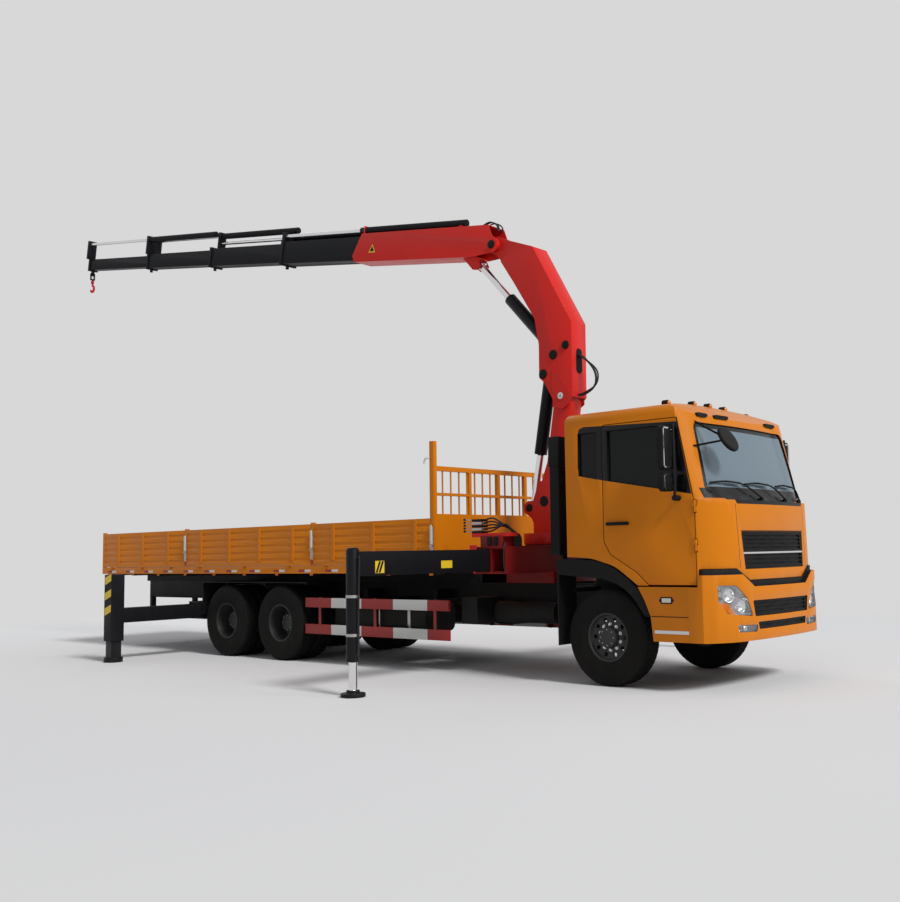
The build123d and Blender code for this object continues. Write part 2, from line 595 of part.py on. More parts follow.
# round mirror in front of the windscreen, on two arms from the pillar and the brow
DISH = (A + 1400, -870, 2590)
DISH_R = 150.0
ARM_R = 11.0
with BuildPart() as front_mirror:
    with Locations(Location(DISH, (0, 60, 0))):
        Cylinder(DISH_R, 44)
    fillet(front_mirror.edges().filter_by(GeomType.CIRCLE), 18)
    for end in ((A + 940, -1000, 2880), (A + 1050, -1110, 2520)):
        tube(DISH, end, ARM_R)
    add(cab_body.part, mode=Mode.SUBTRACT)
front_mirror.part.label = "front_mirror"
export_step(front_mirror.part, "parts/front_mirror.step")

# air intake behind the cab
STACK = (A - 675, -1055)
with BuildPart() as intake_stack:
    round_z(STACK[0], STACK[1], 140, 250, 35, 1420, 2700)
    round_z(STACK[0], STACK[1], 156, 266, 35, 2430, 2770)
    block(STACK[0] - 20, STACK[0] + 20, STACK[1] + 20, STACK[1] + 80, 1020, 1440)
    block(STACK[0] - 20, STACK[0] + 20, STACK[1] + 20, -RAIL_Y - RAIL_W / 2 - SEAT, 1020, 1060)
intake_stack.part.label = "intake_stack"
export_step(intake_stack.part, "parts/intake_stack.step")

# drop sides and tailgate hinge on their lower edge
HINGE_Z = FLOOR_TOP + 14
HINGE_OUT = 12.0
HINGE_R = 10.0
LEAF = 80.0
SIDE_HINGE_Y = BED_W + HINGE_OUT
GATE_HINGE_X = BED_REAR - HINGE_OUT
PANELS = {
    "front": (POST_1 + POST_W / 2 + 6, BED_FRONT - 76),
    "middle": (POST_2 + POST_W / 2 + 6, POST_1 - POST_W / 2 - 6),
    "rear": (BED_REAR + POST_W + 6, POST_2 - POST_W / 2 - 6),
}
HINGES = {place: [x0 + (x1 - x0) * f for f in (0.12, 0.5, 0.85)] for place, (x0, x1) in PANELS.items()}
GATE_HINGES = (-900, 0, 850)
STAKES = {
    "front": (A - 4440, A - 3640, A - 2860), "middle": (A - 7580, A - 6840, A - 6100, A - 5320),
    "rear": (A - 10020, A - 9260, A - 8510),
}
GATE_STAKES = (-800, -270, 270, 800)
SIDE_Z0 = FLOOR_TOP + 6
RIB_PITCH = (SIDE_TOP - SIDE_Z0 - 70) / RIBS


def ribbed(inner, outer):
    cut = outer - RIB_DEEP * (1 if outer > inner else -1)
    points = [(inner, SIDE_Z0), (outer, SIDE_Z0)]
    for i in range(RIBS):
        z = SIDE_Z0 + 35 + RIB_PITCH * (i + 0.5)
        points += [(outer, z - 26), (cut, z - 15), (cut, z + 15), (outer, z + 26)]
    return points + [(outer, SIDE_TOP), (inner, SIDE_TOP)]


# flat bed with headboard and posts
with BuildPart() as bed:
    block(BED_REAR + 40, BED_FRONT, -1200, 1200, FLOOR_TOP - FLOOR_T, FLOOR_TOP)
    block(BED_REAR, BED_REAR + 50, -1200, 1200, 1225, FLOOR_TOP)
    for s in (1, -1):
        block(BED_REAR, BED_FRONT, s * 1195, s * BED_W, 1225, FLOOR_TOP)
        block(BED_REAR + 50, BED_FRONT - 20, s * RAIL_Y - 40, s * RAIL_Y + 40, RAIL_Z1 + SEAT, 1200)
        for x in (BED_REAR, POST_2 - POST_W / 2, POST_1 - POST_W / 2):
            block(x, x + POST_W, s * 1195, s * BED_W, 1225, SIDE_TOP + 20)
        block(BED_FRONT - 70, BED_FRONT, s * 1185, s * BED_W, 1225, 2870)
        for xs in HINGES.values():
            for x in xs:
                bar_x(s * SIDE_HINGE_Y, HINGE_Z, x - LEAF, x, HINGE_R)
                block(x - LEAF, x, s * (BED_W - 5), s * SIDE_HINGE_Y, FLOOR_TOP - 40, FLOOR_TOP)
                block(x - LEAF, x, s * (BED_W + 5), s * SIDE_HINGE_Y, FLOOR_TOP - 5, HINGE_Z - 4)
    for y in GATE_HINGES:
        bar_y(GATE_HINGE_X, HINGE_Z, y - LEAF, y, HINGE_R)
        block(GATE_HINGE_X, BED_REAR + 5, y - LEAF, y, FLOOR_TOP - 40, FLOOR_TOP)
        block(GATE_HINGE_X, BED_REAR - 5, y - LEAF, y, FLOOR_TOP - 5, HINGE_Z - 4)
    for i in range(11):
        x = BED_REAR + 120 + i * 780
        block(x - 35, x + 35, -1198, 1198, 1195, FLOOR_TOP - FLOOR_T + 5)
    block(BED_FRONT - 60, BED_FRONT - 10, -1200, 1200, FLOOR_TOP - 10, 1960)
    block(BED_FRONT - 60, BED_FRONT - 10, -1200, 1200, 2500, 2560)
    block(BED_FRONT - 60, BED_FRONT - 10, -1200, 1200, 2190, 2225)
    for y in (-560, 0, 560):
        block(BED_FRONT - 60, BED_FRONT - 10, y - 25, y + 25, 1950, 2510)
    for i in range(15):
        bar_z(BED_FRONT - 35, -1050 + i * 150, 1950, 2510, 11)
bed.part.label = "bed"
export_step(bed.part, "parts/bed.step")

for side, s in (("right", -1), ("left", 1)):
    for place, (x0, x1) in PANELS.items():
        with BuildPart() as panel:
            plate_yz(ribbed(s * (BED_W - SIDE_T), s * BED_W), x0, x1)
            for x in STAKES[place]:
                block(x - STAKE_W / 2, x + STAKE_W / 2, s * (BED_W - 15), s * (BED_W + STAKE_OUT), 1400, SIDE_TOP - 12)
            for x in HINGES[place]:
                bar_x(s * SIDE_HINGE_Y, HINGE_Z, x + SEAT, x + LEAF, HINGE_R)
                block(x + SEAT, x + LEAF, s * (BED_W - 5), s * SIDE_HINGE_Y, HINGE_Z - 4, HINGE_Z + 9)
        panel.part.label = "side_" + place + "_" + side
        export_step(panel.part, "parts/side_" + place + "_" + side + ".step")
with BuildPart() as tailgate:
    plate_xz(ribbed(BED_REAR + SIDE_T, BED_REAR), -1188, 1188)
    for y in GATE_STAKES:
        block(BED_REAR - STAKE_OUT, BED_REAR + 15, y - STAKE_W / 2, y + STAKE_W / 2, 1400, SIDE_TOP - 12)
    for y in GATE_HINGES:
        bar_y(GATE_HINGE_X, HINGE_Z, y + SEAT, y + LEAF, HINGE_R)
        block(GATE_HINGE_X, BED_REAR + 5, y + SEAT, y + LEAF, HINGE_Z - 4, HINGE_Z + 9)
tailgate.part.label = "tailgate"
export_step(tailgate.part, "parts/tailgate.step")

# side guards, tanks and wheel arches
with BuildPart() as side_gear:
    for s in (1, -1):
        block(A - 5090, A - 2330, s * 1165, s * 1200, 760, 890)
        block(A - 5090, A - 2330, s * 1165, s * 1200, 400, 530)
        for x in (A - 4820, A - 3700, A - 2600):
            block(x - 25, x + 25, s * 1120, s * 1168, 400, 900)
            block(x - 25, x + 25, s * (RAIL_Y + RAIL_W / 2 + SEAT), s * 1130, 850, 900)
        round_x(s * 810, 655, 540, 370, 95, A - 4600, A - 2850)
        for x in (A - 4400, A - 3050):
            block(x - 40, x + 40, s * (RAIL_Y + RAIL_W / 2 + SEAT), s * 700, 815, 1000)
side_gear.part.label = "side_gear"
export_step(side_gear.part, "parts/side_gear.step")

ARCH_OUT = rel([
    (-640, 1372), (-480, 1380), (-167, 1362), (0, 1330), (155, 1266), (300, 1170), (425, 1068), (480, 990), (530, 900),
    (592, 765),
])
ARCH_IN = rel([
    (-640, 1208), (-480, 1192), (-260, 1178), (-20, 1160), (155, 1112), (270, 1050), (360, 975), (425, 905), (470, 835),
    (525, 765),
])
ARCH_T = 16.0
ARCH_LINER = []
for x, z in ARCH_OUT:
    away = math.hypot(x - A, z - TYRE_R)
    ARCH_LINER.append((x - (x - A) * ARCH_T / away, z - (z - TYRE_R) * ARCH_T / away))
with BuildPart() as wheel_arches:
    for s in (1, -1):
        block(AX3 - 620, AX2 + 620, s * 620, s * 1230, 1090, 1104)
        for x in (AX3 - 300, (AX2 + AX3) / 2, AX2 + 300):
            block(x - 30, x + 30, s * (RAIL_Y + RAIL_W / 2 + SEAT), s * 1000, 1050, 1092)
        block(AX3 - 620, AX3 - 600, s * 640, s * 1220, 600, 1095)
        plate_xz(ARCH_OUT + ARCH_IN[::-1], s * 1150, s * 1190)
        plate_xz(ARCH_OUT + ARCH_LINER[::-1], s * 860, s * 1160)
        block(A - 640, A - 622, s * 860, s * 1190, 420, 1350)
        block(A - 640, A - 596, s * (RAIL_Y + RAIL_W / 2 + SEAT), s * 900, 1000, 1050)
wheel_arches.part.label = "wheel_arches"
export_step(wheel_arches.part, "parts/wheel_arches.step")

# crane base with the front outrigger tube
F_HOUSE_Z0 = F_BEAM_Z0 - 32
F_HOUSE_Z1 = F_BEAM_Z1 + 32
with BuildPart() as crane_base:
    block(F_LEG_X - 120, F_LEFT_X + 120, -HOUSE_Y, HOUSE_Y, F_HOUSE_Z0, F_HOUSE_Z1)
    for x in (F_LEG_X, F_LEFT_X):
        block(x - F_BEAM_W - 9, x + F_BEAM_W + 9, -HOUSE_Y, HOUSE_Y, F_BEAM_Z0 - 12, F_BEAM_Z1 + 12, Mode.SUBTRACT)
        for y in (-HOUSE_Y + 60, HOUSE_Y - 60):
            block(x - 70, x + 70, y - 50, y + 50, F_BEAM_Z0 - 14, F_BEAM_Z0 - SEAT)
            block(x - 70, x + 70, y - 50, y + 50, F_BEAM_Z1 + SEAT, F_BEAM_Z1 + 14)
    block(SLEW_X - 380, SLEW_X + 380, -440, 440, RAIL_Z1 + SEAT, F_HOUSE_Z0 + 5)
    block(SLEW_X - 330, SLEW_X + 330, -380, 380, F_HOUSE_Z1 - 5, F_HOUSE_Z1 + 8)
    bar_z(SLEW_X, 0, F_HOUSE_Z1, BASE_TOP, 330)
    block(F_LEG_X - 60, F_LEFT_X + 60, -HOUSE_Y + 20, -HOUSE_Y + 230, F_HOUSE_Z1 - 5, F_HOUSE_Z1 + 130)
crane_base.part.label = "crane_base"
export_step(crane_base.part, "parts/crane_base.step")

R_HOUSE_Z0 = R_BEAM_Z0 - 28
R_HOUSE_Z1 = R_BEAM_Z1 + 28
with BuildPart() as rear_tube:
    block(R_LEFT_X - 120, R_LEG_X + 120, -HOUSE_Y, HOUSE_Y, R_HOUSE_Z0, R_HOUSE_Z1)
    for x in (R_LEG_X, R_LEFT_X):
        block(x - R_BEAM_W - 9, x + R_BEAM_W + 9, -HOUSE_Y, HOUSE_Y, R_BEAM_Z0 - 10, R_BEAM_Z1 + 10, Mode.SUBTRACT)
        for y in (-HOUSE_Y + 60, HOUSE_Y - 60):
            block(x - 70, x + 70, y - 50, y + 50, R_BEAM_Z0 - 12, R_BEAM_Z0 - SEAT)
            block(x - 70, x + 70, y - 50, y + 50, R_BEAM_Z1 + SEAT, R_BEAM_Z1 + 12)
    for s in (1, -1):
        block(R_LEFT_X - 120, R_LEG_X + 120, s * RAIL_Y - 40, s * RAIL_Y + 40, R_HOUSE_Z1 - 5, RAIL_Z0 - SEAT)
rear_tube.part.label = "rear_tube"
export_step(rear_tube.part, "parts/rear_tube.step")

# outrigger beams with their leg barrels, and the legs
LEG_Z0 = 360.0
LEG_TOP = 1530.0
BOX_LEG = 100.0
BOX_LEG_IN = 78.0
BOX_LEG_Z0 = 300.0
BOX_LEG_TOP = 1250.0
for name, x, s in (("front_beam_right", F_LEG_X, -1), ("front_beam_left", F_LEFT_X, 1)):
    with BuildPart() as beam:
        block(x - F_BEAM_W, x + F_BEAM_W, s * 700, s * F_LEG_Y, F_BEAM_Z0, F_BEAM_Z1)
        block(x - F_BEAM_W + 12, x + F_BEAM_W - 12, s * 690, s * (F_LEG_Y - 160), F_BEAM_Z0 + 12, F_BEAM_Z1 - 12, Mode.SUBTRACT)
        bar_z(x, s * F_LEG_Y, LEG_Z0, LEG_TOP, LEG_R)
        bar_z(x, s * F_LEG_Y, LEG_Z0 + 60, LEG_TOP - 90, LEG_R - 14, Mode.SUBTRACT)
        bar_z(x, s * F_LEG_Y, LEG_Z0 - 1, LEG_Z0 + 70, LEG_ROD + SEAT, Mode.SUBTRACT)
    beam.part.label = name
    export_step(beam.part, "parts/" + name + ".step")
for name, x, s in (("front_leg_right", F_LEG_X, -1), ("front_leg_left", F_LEFT_X, 1)):
    with BuildPart() as leg:
        bar_z(x, s * F_LEG_Y, FOOT_T - 10, 780, LEG_ROD)
        bar_z(x, s * F_LEG_Y, 0, FOOT_T - 30, FOOT_R)
        bar_z(x, s * F_LEG_Y, FOOT_T - 40, FOOT_T, 70)
    leg.part.label = name
    export_step(leg.part, "parts/" + name + ".step")
for name, x, s in (("rear_beam_right", R_LEG_X, -1), ("rear_beam_left", R_LEFT_X, 1)):
    with BuildPart() as beam:
        block(x - R_BEAM_W, x + R_BEAM_W, s * 500, s * R_LEG_Y, R_BEAM_Z0, R_BEAM_Z1)
        block(x - R_BEAM_W + 12, x + R_BEAM_W - 12, s * 490, s * (R_LEG_Y - 160), R_BEAM_Z0 + 12, R_BEAM_Z1 - 12, Mode.SUBTRACT)
        block(x - BOX_LEG, x + BOX_LEG, s * (R_LEG_Y - BOX_LEG), s * (R_LEG_Y + BOX_LEG), BOX_LEG_Z0, BOX_LEG_TOP)
        block(x - BOX_LEG + 14, x + BOX_LEG - 14, s * (R_LEG_Y - BOX_LEG + 14), s * (R_LEG_Y + BOX_LEG - 14), BOX_LEG_Z0 - 1, BOX_LEG_TOP - 14, Mode.SUBTRACT)
    beam.part.label = name
    export_step(beam.part, "parts/" + name + ".step")
for name, x, s in (("rear_leg_right", R_LEG_X, -1), ("rear_leg_left", R_LEFT_X, 1)):
    with BuildPart() as leg:
        block(x - BOX_LEG_IN, x + BOX_LEG_IN, s * R_LEG_Y - BOX_LEG_IN, s * R_LEG_Y + BOX_LEG_IN, FOOT_T - 10, 800)
        block(x - BOX_LEG + 14 + SEAT, x + BOX_LEG - 14 - SEAT, s * R_LEG_Y - 40, s * R_LEG_Y + 40, 700, 800)
        bar_z(x, s * R_LEG_Y, 0, FOOT_T, FOOT_R)
    leg.part.label = name
    export_step(leg.part, "parts/" + name + ".step")

# slewing column
PIN_R = 42.0
MAST = rel([
    (-1800, 1690), (-1800, 2120), (-1600, 2600), (-1480, 3300), (-1460, 3420), (-1200, 3420), (-1230, 3200),
    (-1310, 2600), (-1350, 2000), (-1350, 1690),
])
FOOT_LUG = rel([(-1810, 1740), (-1900, 1900), (-2020, 1980), (-2020, 2080), (-1950, 2120), (-1790, 2120)])
with BuildPart() as column:
    bar_z(SLEW_X, 0, BASE_TOP + SEAT, TURN_TOP, 345)
    plate_xz(MAST, -COLUMN_TOP_W, COLUMN_TOP_W)
    plate_xz(rel([(-1800, 1690), (-1800, 2120), (-1700, 2360), (-1330, 2360), (-1350, 1690)]), -175, 175)
    bar_y(LIFT_P[0], LIFT_P[1], -COLUMN_TOP_W, COLUMN_TOP_W, 130)
    bar_y(LIFT_P[0], LIFT_P[1], -MAIN_W - 14, MAIN_W + 14, PIN_R)
    for s in (1, -1):
        plate_xz(FOOT_LUG, min(s * 60, s * 95), max(s * 60, s * 95))
column.part.label = "column"
export_step(column.part, "parts/column.step")

# main boom: side plates with a cover along the front
MAIN = rel([
    (-1150, 3400), (-1140, 4350), (-1750, 5440), (-2050, 5560), (-2290, 5650), (-2300, 5340),
    (-2070, 5000), (-1740, 4480), (-1675, 4120), (-1680, 3690), (-1600, 3620), (-1430, 3330), (-1230, 3330),
])
MAIN_HOLLOW = rel([
    (-1168, 3200), (-1158, 4345), (-1765, 5425), (-2400, 5660), (-2400, 5300),
    (-2150, 5000), (-1900, 4480), (-1900, 3200),
])
TIP = rel([(-1900, 5100), (-1850, 5480), (-2050, 5555), (-2390, 5715), (-2440, 5715), (-2440, 5485), (-2300, 5330), (-2110, 5060)])
with BuildPart() as main_boom:
    plate_xz(MAIN, -MAIN_W, MAIN_W)
    plate_xz(MAIN_HOLLOW, -MAIN_IN, MAIN_IN, Mode.SUBTRACT)
    bar_y(KNUCKLE[0], KNUCKLE[1], -MAIN_W, MAIN_W, 285, Mode.SUBTRACT)
    plate_xz(TIP, -TIP_W, TIP_W)
    bar_y(KNUCKLE[0], KNUCKLE[1], -TIP_W, TIP_W, 115)
    block(A - 2060, A - 1830, -MAIN_IN - 2, MAIN_IN + 2, 5150, 5450)
    bar_y(KNUCKLE[0], KNUCKLE[1], -TIP_W, TIP_W, PIN_R + SEAT, Mode.SUBTRACT)
    for s in (1, -1):
        bar_y(LIFT_P[0], LIFT_P[1], s * MAIN_IN, s * MAIN_W, 140)
    bar_y(LIFT_P[0], LIFT_P[1], -MAIN_W, MAIN_W, PIN_R + SEAT, Mode.SUBTRACT)
    for p in (LIFT_EYE, KNUCKLE_BASE):
        bar_y(p[0], p[1], -MAIN_W - 8, MAIN_W + 8, PIN_R)
main_boom.part.label = "main_boom"
export_step(main_boom.part, "parts/main_boom.step")

# lift and knuckle cylinders
LIFT_LEN = math.hypot(LIFT_FOOT[0] - LIFT_EYE[0], LIFT_FOOT[1] - LIFT_EYE[1])
KN_LEN = math.hypot(KNUCKLE_EYE[0] - KNUCKLE_BASE[0], KNUCKLE_EYE[1] - KNUCKLE_BASE[1])
LIFT_GLAND = 1030.0
KN_GLAND = 1215.0
for name, p, q, gland in (("lift_barrel", LIFT_EYE, LIFT_FOOT, LIFT_GLAND), ("knuckle_barrel", KNUCKLE_BASE, KNUCKLE_EYE, KN_GLAND)):
    with BuildPart() as barrel:
        between(p, q, 50, gland, CYL_R)
        bar_y(p[0], p[1], -90, 90, 88)
        between(p, q, 150, gland - 60, CYL_BORE, Mode.SUBTRACT)
        between(p, q, gland - 70, gland + 1, CYL_ROD + SEAT, Mode.SUBTRACT)
        bar_y(p[0], p[1], -91, 91, PIN_R + SEAT, Mode.SUBTRACT)
    barrel.part.label = name
    export_step(barrel.part, "parts/" + name + ".step")
for name, p, q, gland, length in (
    ("lift_rod", LIFT_EYE, LIFT_FOOT, LIFT_GLAND, LIFT_LEN), ("knuckle_rod", KNUCKLE_BASE, KNUCKLE_EYE, KN_GLAND, KN_LEN),
):
    with BuildPart() as rod:
        between(p, q, gland - 420, length - 20, CYL_ROD)
        bar_y(q[0], q[1], -52, 52, 70)
    rod.part.label = name
    export_step(rod.part, "parts/" + name + ".step")

# outer boom, worked in its own frame: along the boom, across, and up
EYE_X = (KNUCKLE[0] - KNUCKLE_EYE[0]) * -BOOM_X[0] + (KNUCKLE_EYE[1] - KNUCKLE[1]) * BOOM_X[2]
EYE_Z = (KNUCKLE_EYE[0] - KNUCKLE[0]) * BOOM_Z[0] + (KNUCKLE_EYE[1] - KNUCKLE[1]) * BOOM_Z[2]
RED_TOP = BOX_MID + RED_H
RED_BOTTOM = BOX_MID - RED_H
RED_SIDE = [(105, RED_TOP), (RED_END - 110, RED_TOP), (RED_END + 60, RED_BOTTOM + 95), (RED_END, RED_BOTTOM), (330, RED_BOTTOM)]
RED_LUG = [(-90, 60), (-90, -60), (-30, -100), (335, RED_BOTTOM), (335, 200), (105, RED_TOP), (20, 130)]
EYE_LUG = [
    (EYE_X - 90, EYE_Z - 20), (EYE_X - 40, EYE_Z - 85), (EYE_X + 50, EYE_Z - 85), (EYE_X + 260, RED_BOTTOM + 5),
    (EYE_X + 20, RED_BOTTOM + 5), (EYE_X - 30, RED_BOTTOM - 20),
]
with BuildPart(BOOM) as outer_boom:
    plate_boom(RED_SIDE, -RED_W, RED_W)
    for s in (1, -1):
        plate_boom(RED_LUG, min(s * (RED_W - 20), s * RED_W), max(s * (RED_W - 20), s * RED_W))
    block(-200, RED_END + 100, -RED_W + RED_WALL, RED_W - RED_WALL, RED_BOTTOM + RED_WALL, RED_TOP - RED_WALL, Mode.SUBTRACT)
    for s in (1, -1):
        bar_y(0, 0, s * (TIP_W + SEAT), s * RED_W, 95)
        block(EYE_X, EYE_X + 200, s * 60, s * 92, RED_BOTTOM - 5, RED_BOTTOM + 8)
        plate_boom(EYE_LUG, min(s * 60, s * 92), max(s * 60, s * 92))
    bar_y(0, 0, -RED_W - 10, RED_W + 10, PIN_R)
    bar_x(LINE_Y, LINE_LOW, RED_END - 10 - EXT_LEN, RED_END - 10, EXT_R)
    block(RED_END - 130, RED_END - 115, LINE_Y - 60, LINE_Y + 60, RED_TOP - 5, LINE_LOW + 58)
    block(RED_END - 20 - EXT_LEN + 50, RED_END - 20 - EXT_LEN + 130, LINE_Y - 40, LINE_Y + 40, RED_TOP - 5, LINE_LOW)
    bar_x(LINE_Y, LINE_LOW, RED_END - EXT_LEN + 50, RED_END - 40, EXT_BORE, Mode.SUBTRACT)
    bar_x(LINE_Y, LINE_LOW, RED_END - 45, RED_END, EXT_ROD + SEAT, Mode.SUBTRACT)
outer_boom.part.label = "outer_boom"
export_step(outer_boom.part, "parts/outer_boom.step")

# telescopic sections: size, start, head, room in the section around it, rod line and next barrel line
S1_X0 = RED_END - OVERLAP
S2_X0 = S1_HEAD - OVERLAP
S3_X0 = S2_HEAD - OVERLAP
S4_X0 = S3_HEAD - OVERLAP
LINES = {1: (LINE_Y, LINE_LOW), 2: (-LINE_Y, LINE_LOW), 3: (-LINE_Y, LINE_HIGH), 4: (LINE_Y, LINE_HIGH)}
SECTIONS = (
    ("section_1", S1_H, S1_W, S1_X0, S1_HEAD, RED_H - RED_WALL, RED_W - RED_WALL, RED_END, 1, 2, (-145, 145, LINE_LOW + 58)),
    ("section_2", S2_H, S2_W, S2_X0, S2_HEAD, S1_H - WALL, S1_W - WALL, S1_HEAD, 2, 3, (-145, -15, LINE_HIGH + 62)),
    ("section_3", S3_H, S3_W, S3_X0, S3_HEAD, S2_H - WALL, S2_W - WALL, S2_HEAD, 3, 4, (-145, 145, LINE_HIGH + 62)),
    ("section_4", S4_H, S4_W, S4_X0, S4_HEAD, S3_H - WALL, S3_W - WALL, S3_HEAD, 4, 0, (-20, 145, LINE_HIGH + 62)),
)
TIP_PIN_X = S4_HEAD - 40
TIP_PIN_Z = BOX_MID - S4_H - HEAD_LIP - 60
for name, h, w, x0, head, room_h, room_w, gland, line, nxt, (b0, b1, bz) in SECTIONS:
    with BuildPart(BOOM) as section:
        block(x0, head, -w, w, BOX_MID - h, BOX_MID + h)
        block(head - HEAD_T, head, -w - HEAD_LIP, w + HEAD_LIP, BOX_MID - h - HEAD_LIP, BOX_MID + h + HEAD_LIP)
        block(head - HEAD_T, head, b0, b1, BOX_MID + h, bz)
        block(x0 - 1, head + 1, -w + WALL, w - WALL, BOX_MID - h + WALL, BOX_MID + h - WALL, Mode.SUBTRACT)
        for s in (1, -1):
            block(x0, x0 + 120, s * (w - 2), s * (room_w - SEAT), BOX_MID - 60, BOX_MID + 60)
            block(x0, x0 + 120, -50, 50, BOX_MID + s * (h - 2), BOX_MID + s * (room_h - SEAT))
        block(head - 45, head - 5, -20, 20, BOX_MID - h - HEAD_LIP - 45, BOX_MID - h - 5)
        y, z = LINES[line]
        bar_x(y, z, gland - 90, head - 10, EXT_ROD)
        if nxt:
            y, z = LINES[nxt]
            bar_x(y, z, head - 10 - EXT_LEN, head - 10, EXT_R)
            bar_x(y, z, head - EXT_LEN + 50, head - 40, EXT_BORE, Mode.SUBTRACT)
            bar_x(y, z, head - 45, head + 1, EXT_ROD + SEAT, Mode.SUBTRACT)
        else:
            block(S4_HEAD - 12, S4_HEAD, -w, w, BOX_MID - h, BOX_MID + h)
            block(TIP_PIN_X - 35, TIP_PIN_X + 35, -20, 20, TIP_PIN_Z - 35, BOX_MID - h)
            bar_y(TIP_PIN_X, TIP_PIN_Z, -21, 21, 16 + SEAT, Mode.SUBTRACT)
    section.part.label = name
    export_step(section.part, "parts/" + name + ".step")

# shackle and hook
HOOK_X = KNUCKLE[0] + TIP_PIN_X * BOOM_X[0] + TIP_PIN_Z * BOOM_Z[0]
HOOK_Z = KNUCKLE[1] + TIP_PIN_X * BOOM_X[2] + TIP_PIN_Z * BOOM_Z[2]
with BuildPart() as hook:
    bar_y(HOOK_X, HOOK_Z, -48, 48, 16)
    for s in (1, -1):
        block(HOOK_X - 16, HOOK_X + 16, s * 27, s * 45, HOOK_Z - 105, HOOK_Z + 18)
    block(HOOK_X - 16, HOOK_X + 16, -45, 45, HOOK_Z - 120, HOOK_Z - 95)
    bar_z(HOOK_X, 0, HOOK_Z - 240, HOOK_Z - 100, 17)
    bar_z(HOOK_X, 0, HOOK_Z - 190, HOOK_Z - 140, 30)
    with BuildSketch(Plane(origin=(HOOK_X, 0, HOOK_Z - 300), x_dir=(0, 0, 1), z_dir=(1, 0, 0))) as bend:
        with Locations((62, 0)):
            Circle(22)
    revolve(profiles=bend.sketch, axis=Axis((HOOK_X, 0, HOOK_Z - 300), (0, 1, 0)), revolution_arc=250)
hook.part.label = "hook"
export_step(hook.part, "parts/hook.step")
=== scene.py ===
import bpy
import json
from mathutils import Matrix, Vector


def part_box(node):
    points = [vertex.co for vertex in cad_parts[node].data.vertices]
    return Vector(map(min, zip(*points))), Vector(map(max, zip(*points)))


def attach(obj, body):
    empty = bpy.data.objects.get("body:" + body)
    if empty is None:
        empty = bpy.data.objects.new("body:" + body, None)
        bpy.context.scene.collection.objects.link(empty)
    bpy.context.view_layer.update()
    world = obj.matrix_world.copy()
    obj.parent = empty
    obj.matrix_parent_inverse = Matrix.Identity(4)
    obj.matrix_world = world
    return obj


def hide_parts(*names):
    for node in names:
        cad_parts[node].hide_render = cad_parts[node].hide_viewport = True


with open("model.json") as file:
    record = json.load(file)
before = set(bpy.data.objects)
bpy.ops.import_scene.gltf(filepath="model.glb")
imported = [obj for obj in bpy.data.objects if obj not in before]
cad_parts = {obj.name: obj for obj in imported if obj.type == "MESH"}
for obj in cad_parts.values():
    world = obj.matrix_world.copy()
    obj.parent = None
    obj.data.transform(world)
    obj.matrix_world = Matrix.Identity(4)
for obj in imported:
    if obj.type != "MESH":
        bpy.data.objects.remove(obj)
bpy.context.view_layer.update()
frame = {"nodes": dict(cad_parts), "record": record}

import json
import math

import bmesh
import bpy
from bpy.props import FloatProperty, FloatVectorProperty, IntProperty, PointerProperty
from mathutils import Matrix, Vector

bl_info = {
    "name": "Crane Truck Looks",
    "version": (1, 0, 0),
    "blender": (4, 5, 0),
    "location": "3D View > Sidebar > Crane Truck",
    "description": "Builds the painted looks of a knuckle boom crane truck around its CAD frame",
    "category": "Object",
}

NODES = frame["nodes"]
BODY = {n: b for b, members in frame["record"]["behaviour"]["bodies"].items() for n in members}
WHEEL_LOW, WHEEL_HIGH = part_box("front_wheel_right")
AXLE = (WHEEL_LOW.x + WHEEL_HIGH.x) / 2
TYRE_R = WHEEL_HIGH.z / 2
BED_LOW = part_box("bed")[0]
HOUSE_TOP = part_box("crane_base")[1].z - 0.130
KNUCKLE = Vector((AXLE - 2.44, 0, 5.6))
BOOM_RISE = math.radians(9.3)
BOOM_ALONG = Vector((-math.cos(BOOM_RISE), 0, math.sin(BOOM_RISE)))
BOOM_UP = Vector((math.sin(BOOM_RISE), 0, math.cos(BOOM_RISE)))
# each section's extension cylinder, across and up in the outer boom's frame
ROD_LINES = {1: (0.08, 0.34), 2: (-0.08, 0.34), 3: (-0.08, 0.47), 4: (0.08, 0.47)}
SIDES = (("right", -1), ("left", 1))
# the photo's camera: place, angles, then focal length, shift and frame in the photo's pixels
CAM_SPOT = (AXLE + 6.744, -10.596, 1.465)
CAM_YAW, CAM_PITCH, CAM_ROLL = math.radians(130.006), math.radians(5.4735), math.radians(-1.0802)
CAM_FOCAL, CAM_SHIFT, CAM_FRAME, SENSOR = 1054.77, -70.0, 902.0, 36.0
# radii of the tyre under its lugs, of the lugs' foot and of the rim's edge
TREAD_FLOOR, LUG_FOOT, RIM_R = 0.514, 0.509, 0.266
# half length, half width and spacing of the lugs
LUG_LONG, LUG_WIDE, LUG_STEP = 0.026, 0.0155, 0.039
TWIN = (-0.159, 0.159)
# by wheel: tyres across, face and circle of the nuts, face and circle of the cap bolts
WHEELS = {
    "front_wheel": ((0.0,), 0.062, 0.135, 0.1255, 0.085),
    "mid_wheels": (TWIN, 0.017, 0.147, 0.148, 0.1),
    "rear_wheels": (TWIN, 0.017, 0.147, 0.148, 0.1),
}
COLOUR = {"subtype": "COLOR", "size": 3}
MATERIALS = {}


